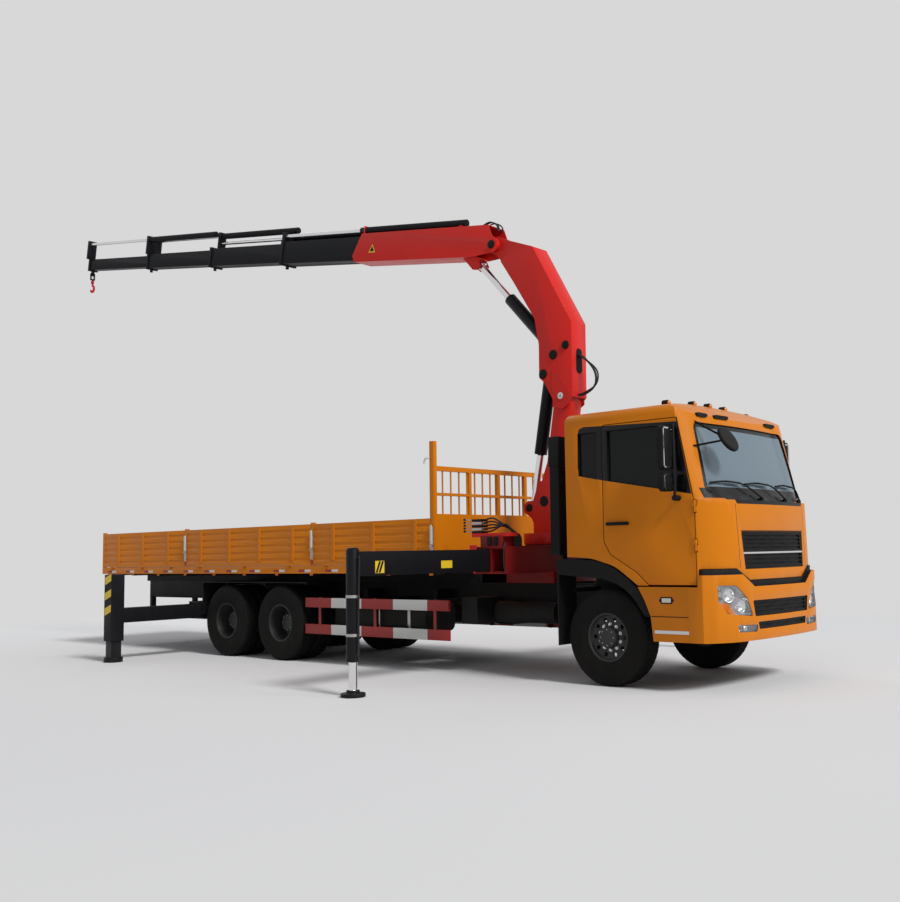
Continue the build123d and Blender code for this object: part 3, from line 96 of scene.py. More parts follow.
class TruckColours(bpy.types.PropertyGroup):
    cab: FloatVectorProperty(
        name="Cab and bed", description="Paint of the cab and the bed",
        default=(0.64, 0.190, 0.004), **COLOUR)
    crane: FloatVectorProperty(
        name="Crane", description="Paint of the column and the booms",
        default=(0.66, 0.022, 0.016), **COLOUR)
    # The crane base's red is a darker copy of the crane's red: partly oil on the base, partly painted
    # shade.
    base: FloatVectorProperty(
        name="Crane base", description="Oily paint of the crane's base, darkened by painted shade",
        default=(0.22, 0.009, 0.008), **COLOUR)
    steel: FloatVectorProperty(
        name="Black steel", description="Paint of the sections and outriggers",
        default=(0.006, 0.0065, 0.009), **COLOUR)
    chassis: FloatVectorProperty(
        name="Chassis", description="Paint of the frame and axles",
        default=(0.007, 0.007, 0.007), **COLOUR)
    rubber: FloatVectorProperty(
        name="Tyres", description="Colour of the tyres",
        default=(0.007, 0.007, 0.007), **COLOUR)
    floor: FloatVectorProperty(
        name="Floor", description="Colour of the floor and the backdrop",
        default=(0.686, 0.686, 0.686), **COLOUR)


class TruckSizes(bpy.types.PropertyGroup):
    edge: FloatProperty(
        name="Edge radius", description="Rounding of the plates' edges",
        default=0.005, min=0.0, unit="LENGTH")
    hose: FloatProperty(
        name="Hose radius", description="Radius of the hydraulic hoses",
        default=0.011, min=0.001, unit="LENGTH")
    nuts: IntProperty(name="Wheel nuts", description="Nuts on each hub", default=10, min=3)
    lugs: IntProperty(name="Tread lugs", description="Tread lugs around each tyre", default=54, min=12)


def settings():
    return bpy.context.scene.truck_colours, bpy.context.scene.truck_sizes


# node trees

def grow(tree, kind, feeds=(), values=(), **traits):
    """Adds a node with its traits, its fixed inputs and the sockets that feed its other inputs."""
    node = tree.nodes.new(kind)
    for key, value in traits.items():
        setattr(node, key, value)
    for key, value in dict(values).items():
        node.inputs[key].default_value = value
    for key, socket in dict(feeds).items():
        tree.links.new(socket, node.inputs[key])
    return node


def maths(tree, operation, *terms, clamp=False):
    """A maths node's result, from sockets and plain numbers."""
    node = grow(tree, "ShaderNodeMath", operation=operation, use_clamp=clamp)
    for k, term in enumerate(terms):
        if isinstance(term, float):
            node.inputs[k].default_value = term
        else:
            tree.links.new(term, node.inputs[k])
    return node.outputs[0]


def wear_group():
    """Patchy tone, road dust low down and a fine paint texture, shared by every painted finish."""
    name = "Road wear"
    if name in bpy.data.node_groups:
        return bpy.data.node_groups[name]
    g = bpy.data.node_groups.new(name, "ShaderNodeTree")
    g.interface.new_socket("Vector", in_out="INPUT", socket_type="NodeSocketVector")
    for label, kind, value in (
        ("Base", "Color", (0.8, 0.3, 0.02, 1)), ("Dust", "Color", (0.30, 0.26, 0.21, 1)),
        ("Tone", "Float", 0.12), ("Dust Amount", "Float", 0.25), ("Rough", "Float", 0.35),
        ("Rough Spread", "Float", 0.12), ("Patch Scale", "Float", 3.0), ("Grain Scale", "Float", 180.0),
    ):
        socket = g.interface.new_socket(label, in_out="INPUT", socket_type="NodeSocket" + kind)
        socket.default_value = value
    for label, kind in (("Color", "Color"), ("Roughness", "Float"), ("Height", "Float")):
        g.interface.new_socket(label, in_out="OUTPUT", socket_type="NodeSocket" + kind)
    given = g.nodes.new("NodeGroupInput").outputs
    place = given["Vector"]
    patch = grow(g, "ShaderNodeTexNoise", {"Vector": place, "Scale": given["Patch Scale"]},
                 {"Detail": 6.0, "Roughness": 0.6}).outputs["Fac"]
    drawn = grow(g, "ShaderNodeMapping", {"Vector": place}, {"Scale": (9.0, 9.0, 1.1)}).outputs["Vector"]
    streak = grow(g, "ShaderNodeTexNoise", {"Vector": drawn}, {"Scale": 1.6, "Detail": 5.0})
    grain = grow(g, "ShaderNodeTexNoise", {"Vector": place, "Scale": given["Grain Scale"]},
                 {"Detail": 3.0}).outputs["Fac"]
    split = grow(g, "ShaderNodeSeparateXYZ", {"Vector": place})
    low = grow(g, "ShaderNodeMapRange", {"Value": split.outputs["Z"]}, {"From Min": 1.7, "From Max": 0.2})
    dirt = maths(g, "MULTIPLY", low.outputs["Result"], streak.outputs["Fac"])
    dirt = maths(g, "MULTIPLY", dirt, given["Dust Amount"], clamp=True)
    tone = maths(g, "MULTIPLY", patch, given["Tone"], clamp=True)
    darker = grow(g, "ShaderNodeMix", {"Factor": tone, "A": given["Base"]}, {"B": (0.35, 0.33, 0.32, 1)},
                  data_type="RGBA", blend_type="MULTIPLY")
    dusty = grow(g, "ShaderNodeMix", {"Factor": dirt, "A": darker.outputs["Result"], "B": given["Dust"]},
                 data_type="RGBA")
    spread = maths(g, "MULTIPLY_ADD", patch, given["Rough Spread"], given["Rough"])
    dull = maths(g, "MULTIPLY_ADD", dirt, 0.35, spread, clamp=True)
    grow(g, "NodeGroupOutput", {"Color": dusty.outputs["Result"], "Roughness": dull, "Height": grain})
    return g


def material(name, values):
    """A new material's node tree and shader, with the shader's fixed inputs set."""
    m = bpy.data.materials.new(name)
    m.use_nodes = True
    shader = m.node_tree.nodes["Principled BSDF"]
    for key, value in values.items():
        shader.inputs[key].default_value = value
    MATERIALS[name] = m
    return m.node_tree, shader


def finish(name, base, rough, spread, tone, dust, grain, bump, coat=0.0, shine=0.4, patch=3.0):
    """A painted, plastic or rubber finish that wears the shared road wear group."""
    tree, shader = material(name, {
        "Coat Weight": coat, "Coat Roughness": 0.08, "Specular IOR Level": shine})
    place = tree.nodes.new("ShaderNodeTexCoord").outputs["Object"]
    wear = grow(tree, "ShaderNodeGroup", {"Vector": place}, {
        "Base": (*base, 1), "Tone": tone, "Dust Amount": dust, "Rough": rough, "Rough Spread": spread,
        "Patch Scale": patch, "Grain Scale": grain}, node_tree=wear_group()).outputs
    raised = grow(tree, "ShaderNodeBump", {"Height": wear["Height"]},
                  {"Strength": bump, "Distance": 0.002})
    tree.links.new(wear["Color"], shader.inputs["Base Color"])
    tree.links.new(wear["Roughness"], shader.inputs["Roughness"])
    tree.links.new(raised.outputs["Normal"], shader.inputs["Normal"])


def roughen(tree, shader, scale, detail, low, high):
    """Spreads a shader's roughness over a range by a noise."""
    place = tree.nodes.new("ShaderNodeTexCoord").outputs["Object"]
    noise = grow(tree, "ShaderNodeTexNoise", {"Vector": place}, {"Scale": scale, "Detail": detail})
    reach = grow(tree, "ShaderNodeMapRange", {"Value": noise.outputs["Fac"]},
                 {"To Min": low, "To Max": high})
    tree.links.new(reach.outputs["Result"], shader.inputs["Roughness"])


def glass(name, tint, rough, alpha, shine=0.4):
    """Tinted glazing that still shows what is behind it."""
    tree, shader = material(name, {"Specular IOR Level": shine, "Alpha": alpha, "Base Color": (*tint, 1)})
    roughen(tree, shader, 4.0, 2.0, rough, rough + 0.08)


def metal(name, base, rough, spread):
    """Bright or worn bare metal with fine scratches."""
    tree, shader = material(name, {"Metallic": 1.0, "Base Color": (*base, 1)})
    roughen(tree, shader, 60.0, 4.0, rough, rough + spread)


def palette():
    """Makes every finish once, from the colours in the panel."""
    if MATERIALS:
        return
    c, _ = settings()
    # name, colour, rough, rough spread, tone, dust, grain and bump,
    # then coat, shine and patch where they differ from the usual
    for row in (
        ("Orange paint", c.cab, 0.30, 0.1, 0.12, 0.04, 260, 0.02, 0.03, 0.13),
        ("Red paint", c.crane, 0.32, 0.12, 0.12, 0.04, 240, 0.03, 0.05, 0.16),
        # Darker copy of the crane's red for the base: oil stain plus painted shade, with stronger patchy
        # tone.
        ("Oily base red with painted shade", c.base, 0.4, 0.15, 0.35, 0.03, 240, 0.05, 0.0, 0.2),
        ("Black paint", c.steel, 0.38, 0.16, 0.25, 0.03, 240, 0.04, 0.02, 0.13),
        ("Chassis paint", c.chassis, 0.5, 0.2, 0.3, 0.05, 150, 0.1, 0.0, 0.12),
        ("Tyre rubber", c.rubber, 0.72, 0.15, 0.3, 0.035, 220, 0.2, 0.0, 0.1),
        ("Black plastic", (0.007, 0.007, 0.0075), 0.5, 0.15, 0.2, 0.03, 420, 0.25, 0.0, 0.14),
        ("Gloss black", (0.008, 0.008, 0.009), 0.2, 0.1, 0.2, 0.02, 300, 0.02, 0.05, 0.2),
        ("Seat cloth", (0.035, 0.036, 0.04), 0.85, 0.1, 0.2, 0.05, 700, 0.5),
        ("Hose rubber", (0.007, 0.007, 0.007), 0.45, 0.15, 0.2, 0.04, 300, 0.1),
        ("Rim paint", (0.018, 0.018, 0.018), 0.45, 0.2, 0.35, 0.06, 160, 0.08),
        ("Deck", (0.10, 0.095, 0.09), 0.6, 0.25, 0.6, 0.3, 90, 0.3, 0.0, 0.4, 1.5),
        ("Yellow label", (0.75, 0.52, 0.02), 0.4, 0.15, 0.15, 0.1, 300, 0.02),
        ("White tape", (0.62, 0.62, 0.60), 0.35, 0.15, 0.12, 0.15, 500, 0.08),
        ("Red tape", (0.30, 0.010, 0.008), 0.35, 0.15, 0.15, 0.08, 500, 0.08),
        ("Red lens", (0.50, 0.012, 0.010), 0.12, 0.1, 0.1, 0.1, 400, 0.03, 0.5),
        ("Amber lens", (0.70, 0.20, 0.01), 0.12, 0.1, 0.1, 0.05, 400, 0.03, 0.5),
        ("White plastic", (0.62, 0.62, 0.60), 0.4, 0.15, 0.12, 0.2, 300, 0.03),
    ):
        finish(*row)
    glass("Window glass", (0.008, 0.009, 0.010), 0.03, 0.86, 0.2)
    glass("Windscreen", (0.20, 0.27, 0.32), 0.02, 0.66)
    glass("Amber glass", (0.75, 0.19, 0.01), 0.03, 0.72)
    glass("Lamp lens", (0.70, 0.72, 0.74), 0.02, 0.18)
    metal("Chrome", (0.78, 0.78, 0.80), 0.08, 0.12)
    metal("Worn steel", (0.42, 0.41, 0.40), 0.3, 0.3)
    metal("Mirror glass", (0.62, 0.66, 0.70), 0.03, 0.05)
    metal("Aluminium", (0.60, 0.60, 0.61), 0.28, 0.2)


NODE_FINISH = {
    "orange_paint": "Orange paint", "red_paint": "Red paint", "black_paint": "Black paint",
    "chassis_black": "Chassis paint", "tyre_rubber": "Tyre rubber", "black_plastic": "Black plastic",
    "window_glass": "Window glass", "rod_chrome": "Chrome", "lamp_glass": "Lamp lens",
}
NODE_SLOT = {s["node"]: s["material_slot"] for s in frame["record"]["subparts"]}


# mesh helpers

def put(obj, body, slot=None, *nodes):
    """Rides a finished piece on its body and lets it stand for CAD nodes."""
    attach(obj, body)
    if nodes:
        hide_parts(*nodes)
    return obj


def settle(obj):
    """Turns the evaluated piece into a plain mesh with smooth faces and sharp corners."""
    bpy.context.view_layer.update()
    mesh = bpy.data.meshes.new_from_object(obj.evaluated_get(bpy.context.evaluated_depsgraph_get()))
    obj.modifiers.clear()
    obj.data = mesh
    if not mesh.has_custom_normals:
        mesh.shade_smooth()
        mesh.set_sharp_from_angle(angle=math.radians(35))
    return obj


def show(name, data):
    """A new object of the scene."""
    obj = bpy.data.objects.new(name, data)
    bpy.context.scene.collection.objects.link(obj)
    return obj


def solid(name, bm):
    """A new object at the origin from a bmesh, which is freed."""
    mesh = bpy.data.meshes.new(name)
    bm.to_mesh(mesh)
    bm.free()
    return show(name, mesh)


def piece(name, bm, mats, bevel=0.0, segments=2):
    """A new object in its finishes, with rounded edges where asked."""
    obj = solid(name, bm)
    for m in mats:
        obj.data.materials.append(MATERIALS[m])
    if bevel:
        b = obj.modifiers.new("Edges", "BEVEL")
        b.width, b.segments = bevel, segments
        b.limit_method, b.angle_limit = "ANGLE", math.radians(30)
        b.use_clamp_overlap = b.harden_normals = True
        obj.data.shade_smooth()
    return settle(obj)


def dress(node, names=None, paint=None, bevel=None, segments=2):
    """A copy of a CAD node with painted zones and rounded edges, which stands for the node."""
    edge = settings()[1].edge if bevel is None else bevel
    bm = bmesh.new()
    bm.from_mesh(NODES[node].data)
    bmesh.ops.remove_doubles(bm, verts=bm.verts, dist=2e-5)
    for f in bm.faces:
        f.material_index = 0
    bm.normal_update()
    if paint:
        paint(bm)
    bmesh.ops.dissolve_limit(
        bm, angle_limit=math.radians(0.6), verts=bm.verts, edges=bm.edges, use_dissolve_boundaries=False,
        delimit={"MATERIAL"})
    obj = piece("skin_" + node, bm, names or [NODE_FINISH[NODE_SLOT[node]]], edge, segments)
    return put(obj, BODY[node], NODE_SLOT[node], node)


def zone(bm, keep, points, plane, index):
    """Cuts a convex outline into the kept faces and gives the faces inside it another finish."""
    u = 0 if plane == "xz" else 1
    edges = list(zip(points, points[1:] + points[:1]))
    for p, q in edges:
        co, no = Vector((0, 0, p[1])), Vector((0, 0, p[0] - q[0]))
        co[u], no[u] = p[0], q[1] - p[1]
        faces = [f for f in bm.faces if keep(f, f.calc_center_median())]
        geom = set(faces)
        for f in faces:
            geom.update(f.edges)
            geom.update(f.verts)
        bmesh.ops.bisect_plane(bm, geom=list(geom), plane_co=co, plane_no=no, dist=1e-6)
    for f in bm.faces:
        c = f.calc_center_median()
        if keep(f, c):
            spot = Vector((c[u], c.z))
            sides = [(Vector(q) - Vector(p)).cross(spot - Vector(p)) for p, q in edges]
            if min(sides) > -1e-9 or max(sides) < 1e-9:
                f.material_index = index


def paint_where(bm, index, test):
    for f in bm.faces:
        if test(f, f.calc_center_median()):
            f.material_index = index


def marked(test):
    """Paints the tested faces in a node's second finish."""
    return lambda bm: paint_where(bm, 1, test)


def boom_place(p):
    """Across and up in the outer boom's own frame."""
    return -p.y, (p - KNUCKLE).dot(BOOM_UP)


def at(x, y, z):
    """A point measured from the front axle."""
    return AXLE + x, y, z


def ahead(*points):
    """Flat or solid points measured from the front axle."""
    return [(AXLE + x, *rest) for x, *rest in points]


def span(s, a, b):
    """Two distances from the middle on one side of the truck, in rising order."""
    return sorted((s * a, s * b))


class Kit:
    """Collects closed shapes, each in a named finish, and makes one piece of them."""

    def __init__(self):
        self.bm = bmesh.new()
        self.names = []

    def paint(self, faces, tone):
        if tone not in self.names:
            self.names.append(tone)
        for f in faces:
            f.material_index = self.names.index(tone)

    def skin(self, rings, tone, ends=True):
        """Joins rings of points, closed by end faces or by joining the last ring to the first."""
        loops = [[self.bm.verts.new(p) for p in ring] for ring in rings]
        n = len(loops[0])
        faces = []
        if ends:
            faces = [self.bm.faces.new(loops[0][::-1]), self.bm.faces.new(loops[-1])]
        else:
            loops.append(loops[0])
        for a, b in zip(loops, loops[1:]):
            faces += [self.bm.faces.new((a[i], a[(i + 1) % n], b[(i + 1) % n], b[i])) for i in range(n)]
        self.paint(faces, tone)

    def block(self, lo, hi, tone):
        (x0, y0, z0), (x1, y1, z1) = lo, hi
        self.skin([[(x0, y0, z), (x1, y0, z), (x1, y1, z), (x0, y1, z)] for z in (z0, z1)], tone)

    def slab(self, s, xs, ys, zs, tone):
        """A block on one side of the truck, measured from the front axle."""
        y0, y1 = span(s, *ys)
        self.block(at(xs[0], y0, zs[0]), at(xs[1], y1, zs[1]), tone)

    def plate(self, points, plane, c0, c1, tone):
        """A flat plate from its outline in the xz or the yz plane."""
        if plane == "xz":
            rings = [[(a, c, b) for a, b in points] for c in (c0, c1)]
        else:
            rings = [[(c, a, b) for a, b in points] for c in (c0, c1)]
        self.skin(rings, tone)

    def lathe(self, start, way, profile, tone, sides=20, ends=True):
        way = Vector(way).normalized()
        a = way.orthogonal().normalized()
        b = way.cross(a)
        turns = [2 * math.pi * i / sides for i in range(sides)]
        spokes = [a * math.cos(t) + b * math.sin(t) for t in turns]
        rings = [[Vector(start) + way * d + spoke * r for spoke in spokes] for d, r in profile]
        self.skin(rings, tone, ends)

    def rod(self, p, q, r, tone, sides=16):
        way = Vector(q) - Vector(p)
        self.lathe(p, way, [(0, r), (way.length, r)], tone, sides)

    def bolt(self, p, way, r, tone="Worn steel"):
        profile = ((0, 1.5), (0.25, 1.5), (0.26, 1), (1.1, 1), (1.2, 0.8))
        self.lathe(p, way, [(r * d, r * k) for d, k in profile], tone, 6)

    def tube(self, points, r, tone, sides=10, steps=8):
        """A hose of even thickness on a smooth line through the points."""
        p = [Vector(q) for q in points]
        p = [2 * p[0] - p[1]] + p + [2 * p[-1] - p[-2]]
        path = []
        for a, b, c, d in zip(p, p[1:], p[2:], p[3:]):
            square, cube = 2 * a - 5 * b + 4 * c - d, 3 * b - a - 3 * c + d
            for i in range(steps):
                t = i / steps
                path.append(0.5 * (2 * b + (c - a) * t + square * t ** 2 + cube * t ** 3))
        path.append(p[-2])
        side = (path[1] - path[0]).orthogonal().normalized()
        rings = []
        for k, spot in enumerate(path):
            way = (path[min(k + 1, len(path) - 1)] - path[max(k - 1, 0)]).normalized()
            side = (side - way * side.dot(way)).normalized()
            up = way.cross(side)
            turns = [2 * math.pi * i / sides for i in range(sides)]
            rings.append([spot + (side * math.cos(t) + up * math.sin(t)) * r for t in turns])
        self.skin(rings, tone)

    def make(self, name, body, slot, bevel=0.0, segments=1):
        bmesh.ops.recalc_face_normals(self.bm, faces=self.bm.faces)
        return put(piece(name, self.bm, self.names, bevel, segments), body, slot)


def ring_tree():
    """Copies a seed shape round an axle that lies across the truck."""
    name = "Ring of copies"
    if name in bpy.data.node_groups:
        return bpy.data.node_groups[name]
    g = bpy.data.node_groups.new(name, "GeometryNodeTree")
    g.is_modifier = True
    for label, kind in (
        ("Seed", "Geometry"), ("Count", "Int"), ("Centre", "Vector"), ("Finish", "Material"),
    ):
        g.interface.new_socket(label, in_out="INPUT", socket_type="NodeSocket" + kind)
    g.interface.new_socket("Ring", in_out="OUTPUT", socket_type="NodeSocketGeometry")
    given = g.nodes.new("NodeGroupInput").outputs
    spots = grow(g, "GeometryNodePoints", {"Count": given["Count"], "Position": given["Centre"]})
    index = g.nodes.new("GeometryNodeInputIndex").outputs[0]
    turn = maths(g, "MULTIPLY", maths(g, "DIVIDE", index, given["Count"]), 2 * math.pi)
    about = grow(g, "ShaderNodeCombineXYZ", {"Y": turn})
    rotation = grow(g, "FunctionNodeEulerToRotation", {0: about.outputs[0]})
    copies = grow(g, "GeometryNodeInstanceOnPoints", {
        "Points": spots.outputs[0], "Instance": given["Seed"], "Rotation": rotation.outputs[0]})
    real = grow(g, "GeometryNodeRealizeInstances", {0: copies.outputs[0]})
    coat = grow(g, "GeometryNodeSetMaterial", {"Geometry": real.outputs[0], "Material": given["Finish"]})
    grow(g, "NodeGroupOutput", {"Ring": coat.outputs[0]})
    return g


def ring(name, kit, body, slot, centre, count):
    """Turns a kit made about the origin into a ring of copies about a wheel's centre."""
    bmesh.ops.recalc_face_normals(kit.bm, faces=kit.bm.faces)
    obj = solid(name, kit.bm)
    mod = obj.modifiers.new("Ring", "NODES")
    mod.node_group = ring_tree()
    items = mod.node_group.interface.items_tree
    sockets = {i.name: i.identifier for i in items if i.in_out == "INPUT"}
    mod[sockets["Count"]] = count
    mod[sockets["Centre"]] = centre
    mod[sockets["Finish"]] = MATERIALS[kit.names[0]]
    return put(settle(obj), body, slot)


# operators

class TRUCK_OT_stage(bpy.types.Operator):
    """Camera, floor and soft studio light"""
    bl_idname = "truck.stage"
    bl_label = "Stage"

    def execute(self, context):
        scene = context.scene
        scene.view_settings.view_transform = "Standard"
        c, _ = settings()
        level = math.cos(CAM_PITCH)
        look = Vector((level * math.cos(CAM_YAW), level * math.sin(CAM_YAW), math.sin(CAM_PITCH)))
        side = look.cross(Vector((0, 0, 1))).normalized()
        up = side.cross(look)
        right = math.cos(CAM_ROLL) * side + math.sin(CAM_ROLL) * up
        top = -math.sin(CAM_ROLL) * side + math.cos(CAM_ROLL) * up
        data = bpy.data.cameras.new("camera")
        data.sensor_width = SENSOR
        data.lens = SENSOR * CAM_FOCAL / CAM_FRAME
        data.shift_x = CAM_SHIFT / CAM_FRAME
        data.clip_end = 400.0
        cam = show("camera", data)
        turn = Matrix((right, top, -look)).transposed().to_4x4()
        cam.matrix_world = Matrix.Translation(CAM_SPOT) @ turn
        scene.camera = cam

        bm = bmesh.new()
        bmesh.ops.create_grid(bm, x_segments=1, y_segments=1, size=160.0)
        floor = solid("floor", bm)
        m = bpy.data.materials.new("Floor")
        m.use_nodes = True
        tree = m.node_tree
        tree.nodes.remove(tree.nodes["Principled BSDF"])
        matt = grow(tree, "ShaderNodeBsdfDiffuse", (), {"Color": (0.79, 0.79, 0.79, 1)})
        glow = grow(tree, "ShaderNodeEmission", (), {"Color": (*c.floor, 1)})
        place = tree.nodes.new("ShaderNodeTexCoord").outputs["Object"]
        reach = grow(tree, "ShaderNodeVectorMath", {0: place}, operation="LENGTH").outputs["Value"]
        fade = grow(tree, "ShaderNodeMapRange", {"Value": reach}, {"From Min": 8.0, "From Max": 15.0},
                    interpolation_type="SMOOTHSTEP").outputs["Result"]
        mix = grow(tree, "ShaderNodeMixShader", {"Fac": fade, 1: matt.outputs[0], 2: glow.outputs[0]})
        tree.links.new(mix.outputs[0], tree.nodes["Material Output"].inputs["Surface"])
        floor.data.materials.append(m)

        world = bpy.data.worlds.new("studio")
        scene.world = world
        world.use_nodes = True
        tree = world.node_tree
        sky = tree.nodes["Background"]
        sky.inputs["Color"].default_value = (0.80, 0.82, 0.86, 1)
        sky.inputs["Strength"].default_value = 0.40
        back = grow(tree, "ShaderNodeBackground", (), {"Color": (*c.floor, 1)})
        path = tree.nodes.new("ShaderNodeLightPath").outputs
        seen = path["Is Camera Ray"]
        for ray in ("Is Glossy Ray", "Is Transmission Ray"):
            seen = maths(tree, "MAXIMUM", seen, path[ray])
        pick = grow(tree, "ShaderNodeMixShader", {"Fac": seen, 1: sky.outputs[0], 2: back.outputs[0]})
        tree.links.new(pick.outputs[0], tree.nodes["World Output"].inputs["Surface"])

        for name, kind, place, aim, size, power in (
            ("key", "SUN", (17.0, -3.0, 15.0), (0.0, 0.0, 0.0), math.radians(14), 2.15),
            ("front", "AREA", (19.0, 2.0, 9.0), (4.0, 0.0, 2.0), 6.0, 350.0),
            ("rear", "AREA", (-16.0, 10.0, 14.0), (-2.0, 0.0, 3.0), 9.0, 500.0),
        ):
            lamp = bpy.data.lights.new(name, kind)
            lamp.energy = power
            if kind == "SUN":
                lamp.angle = size
            else:
                lamp.shape, lamp.size = "DISK", size
            obj = show(name, lamp)
            obj.location = place
            obj.rotation_euler = (Vector(aim) - Vector(place)).to_track_quat("-Z", "Y").to_euler()
        return {"FINISHED"}


class TRUCK_OT_finishes(bpy.types.Operator):
    """Paints, rubbers, metals and glasses"""
    bl_idname = "truck.finishes"
    bl_label = "Finishes"

    def execute(self, context):
        palette()
        return {"FINISHED"}


class TRUCK_OT_wheels(bpy.types.Operator):
    """Tyres with tread, painted rims and nuts"""
    bl_idname = "truck.wheels"
    bl_label = "Wheels"

    def execute(self, context):
        sizes = settings()[1]
        for side, s in SIDES:
            for stem, (tyres, face, nut_r, cap, cap_r) in WHEELS.items():
                node = stem + "_" + side
                lo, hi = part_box(node)
                mid = Vector(((lo.x + hi.x) / 2, (lo.y + hi.y) / 2, TYRE_R))

                def paint(bm):
                    for v in bm.verts:
                        d = math.hypot(v.co.x - mid.x, v.co.z - mid.z)
                        if d > TYRE_R - 0.001:
                            v.co.x = mid.x + (v.co.x - mid.x) * TREAD_FLOOR / d
                            v.co.z = mid.z + (v.co.z - mid.z) * TREAD_FLOOR / d
                    paint_where(bm, 1, lambda f, c: math.hypot(c.x - mid.x, c.z - mid.z) < RIM_R)

                dress(node, ["Tyre rubber", "Rim paint"], paint, bevel=0.004)
                tread = Kit()
                for offset in tyres:
                    for k in range(5):
                        y = offset + (k - 2) * LUG_STEP
                        t = (k % 2) * math.pi / sizes.lugs
                        cos, sin = math.cos(t), math.sin(t)
                        low, high = y - LUG_WIDE, y + LUG_WIDE
                        corners = ((-LUG_LONG, low), (LUG_LONG, low), (LUG_LONG, high), (-LUG_LONG, high))
                        tread.skin([[(x * cos + z * sin, w, z * cos - x * sin) for x, w in corners]
                                    for z in (LUG_FOOT, TYRE_R - 0.0008)], "Tyre rubber")
                ring("tread_" + node, tread, node, "tyre_rubber", mid, sizes.lugs)
                for name, y, r, size, tone, count in (
                    ("nuts_", face, nut_r, 0.0165, "Aluminium", sizes.nuts),
                    ("cap_bolts_", cap, cap_r, 0.007, "Worn steel", 8),
                ):
                    nut = Kit()
                    nut.bolt((0, s * y, r), (0, s, 0), size, tone)
                    ring(name + node, nut, node, "rod_chrome", mid, count)
        return {"FINISHED"}


def screen_x(y, z):
    """The windscreen's outer face, forward of the origin."""
    t = (z - 1.865) / 1.203
    nose, side = 1.384 - 0.354 * t, 1.181 - 0.25 * t
    if abs(y) <= 0.8:
        return AXLE + nose - 0.045 * (y / 0.8) ** 2
    k = (abs(y) - 0.8) / 0.4
    return AXLE + nose - 0.045 - (nose - 0.045 - side) * k + 0.152 * k * (1 - k)


def nose_x(y, z):
    """The front panel's outer face under the windscreen."""
    return AXLE + 1.478 - 0.028 * (z - 1.09) / 0.875 - 0.045 * (y / 0.8) ** 2


def bumper_x(y):
    """The bumper's outer face."""
    if abs(y) <= 0.8:
        return AXLE + 1.525 - 0.045 * (y / 0.8) ** 2
    k = (abs(y) - 0.8) / 0.44
    return AXLE + 1.48 - 0.23 * k + 0.167 * k * (1 - k)


BAND = ahead(
    (-0.215, 2.8369), (-0.275, 2.818), (-0.2985, 2.765), (-0.3085, 2.385), (-0.292, 2.318),
    (-0.235, 2.2802), (0.095, 2.216), (1.138, 2.027), (0.988, 2.79))
HEART = Vector((AXLE + 0.4, 0, 2.2))


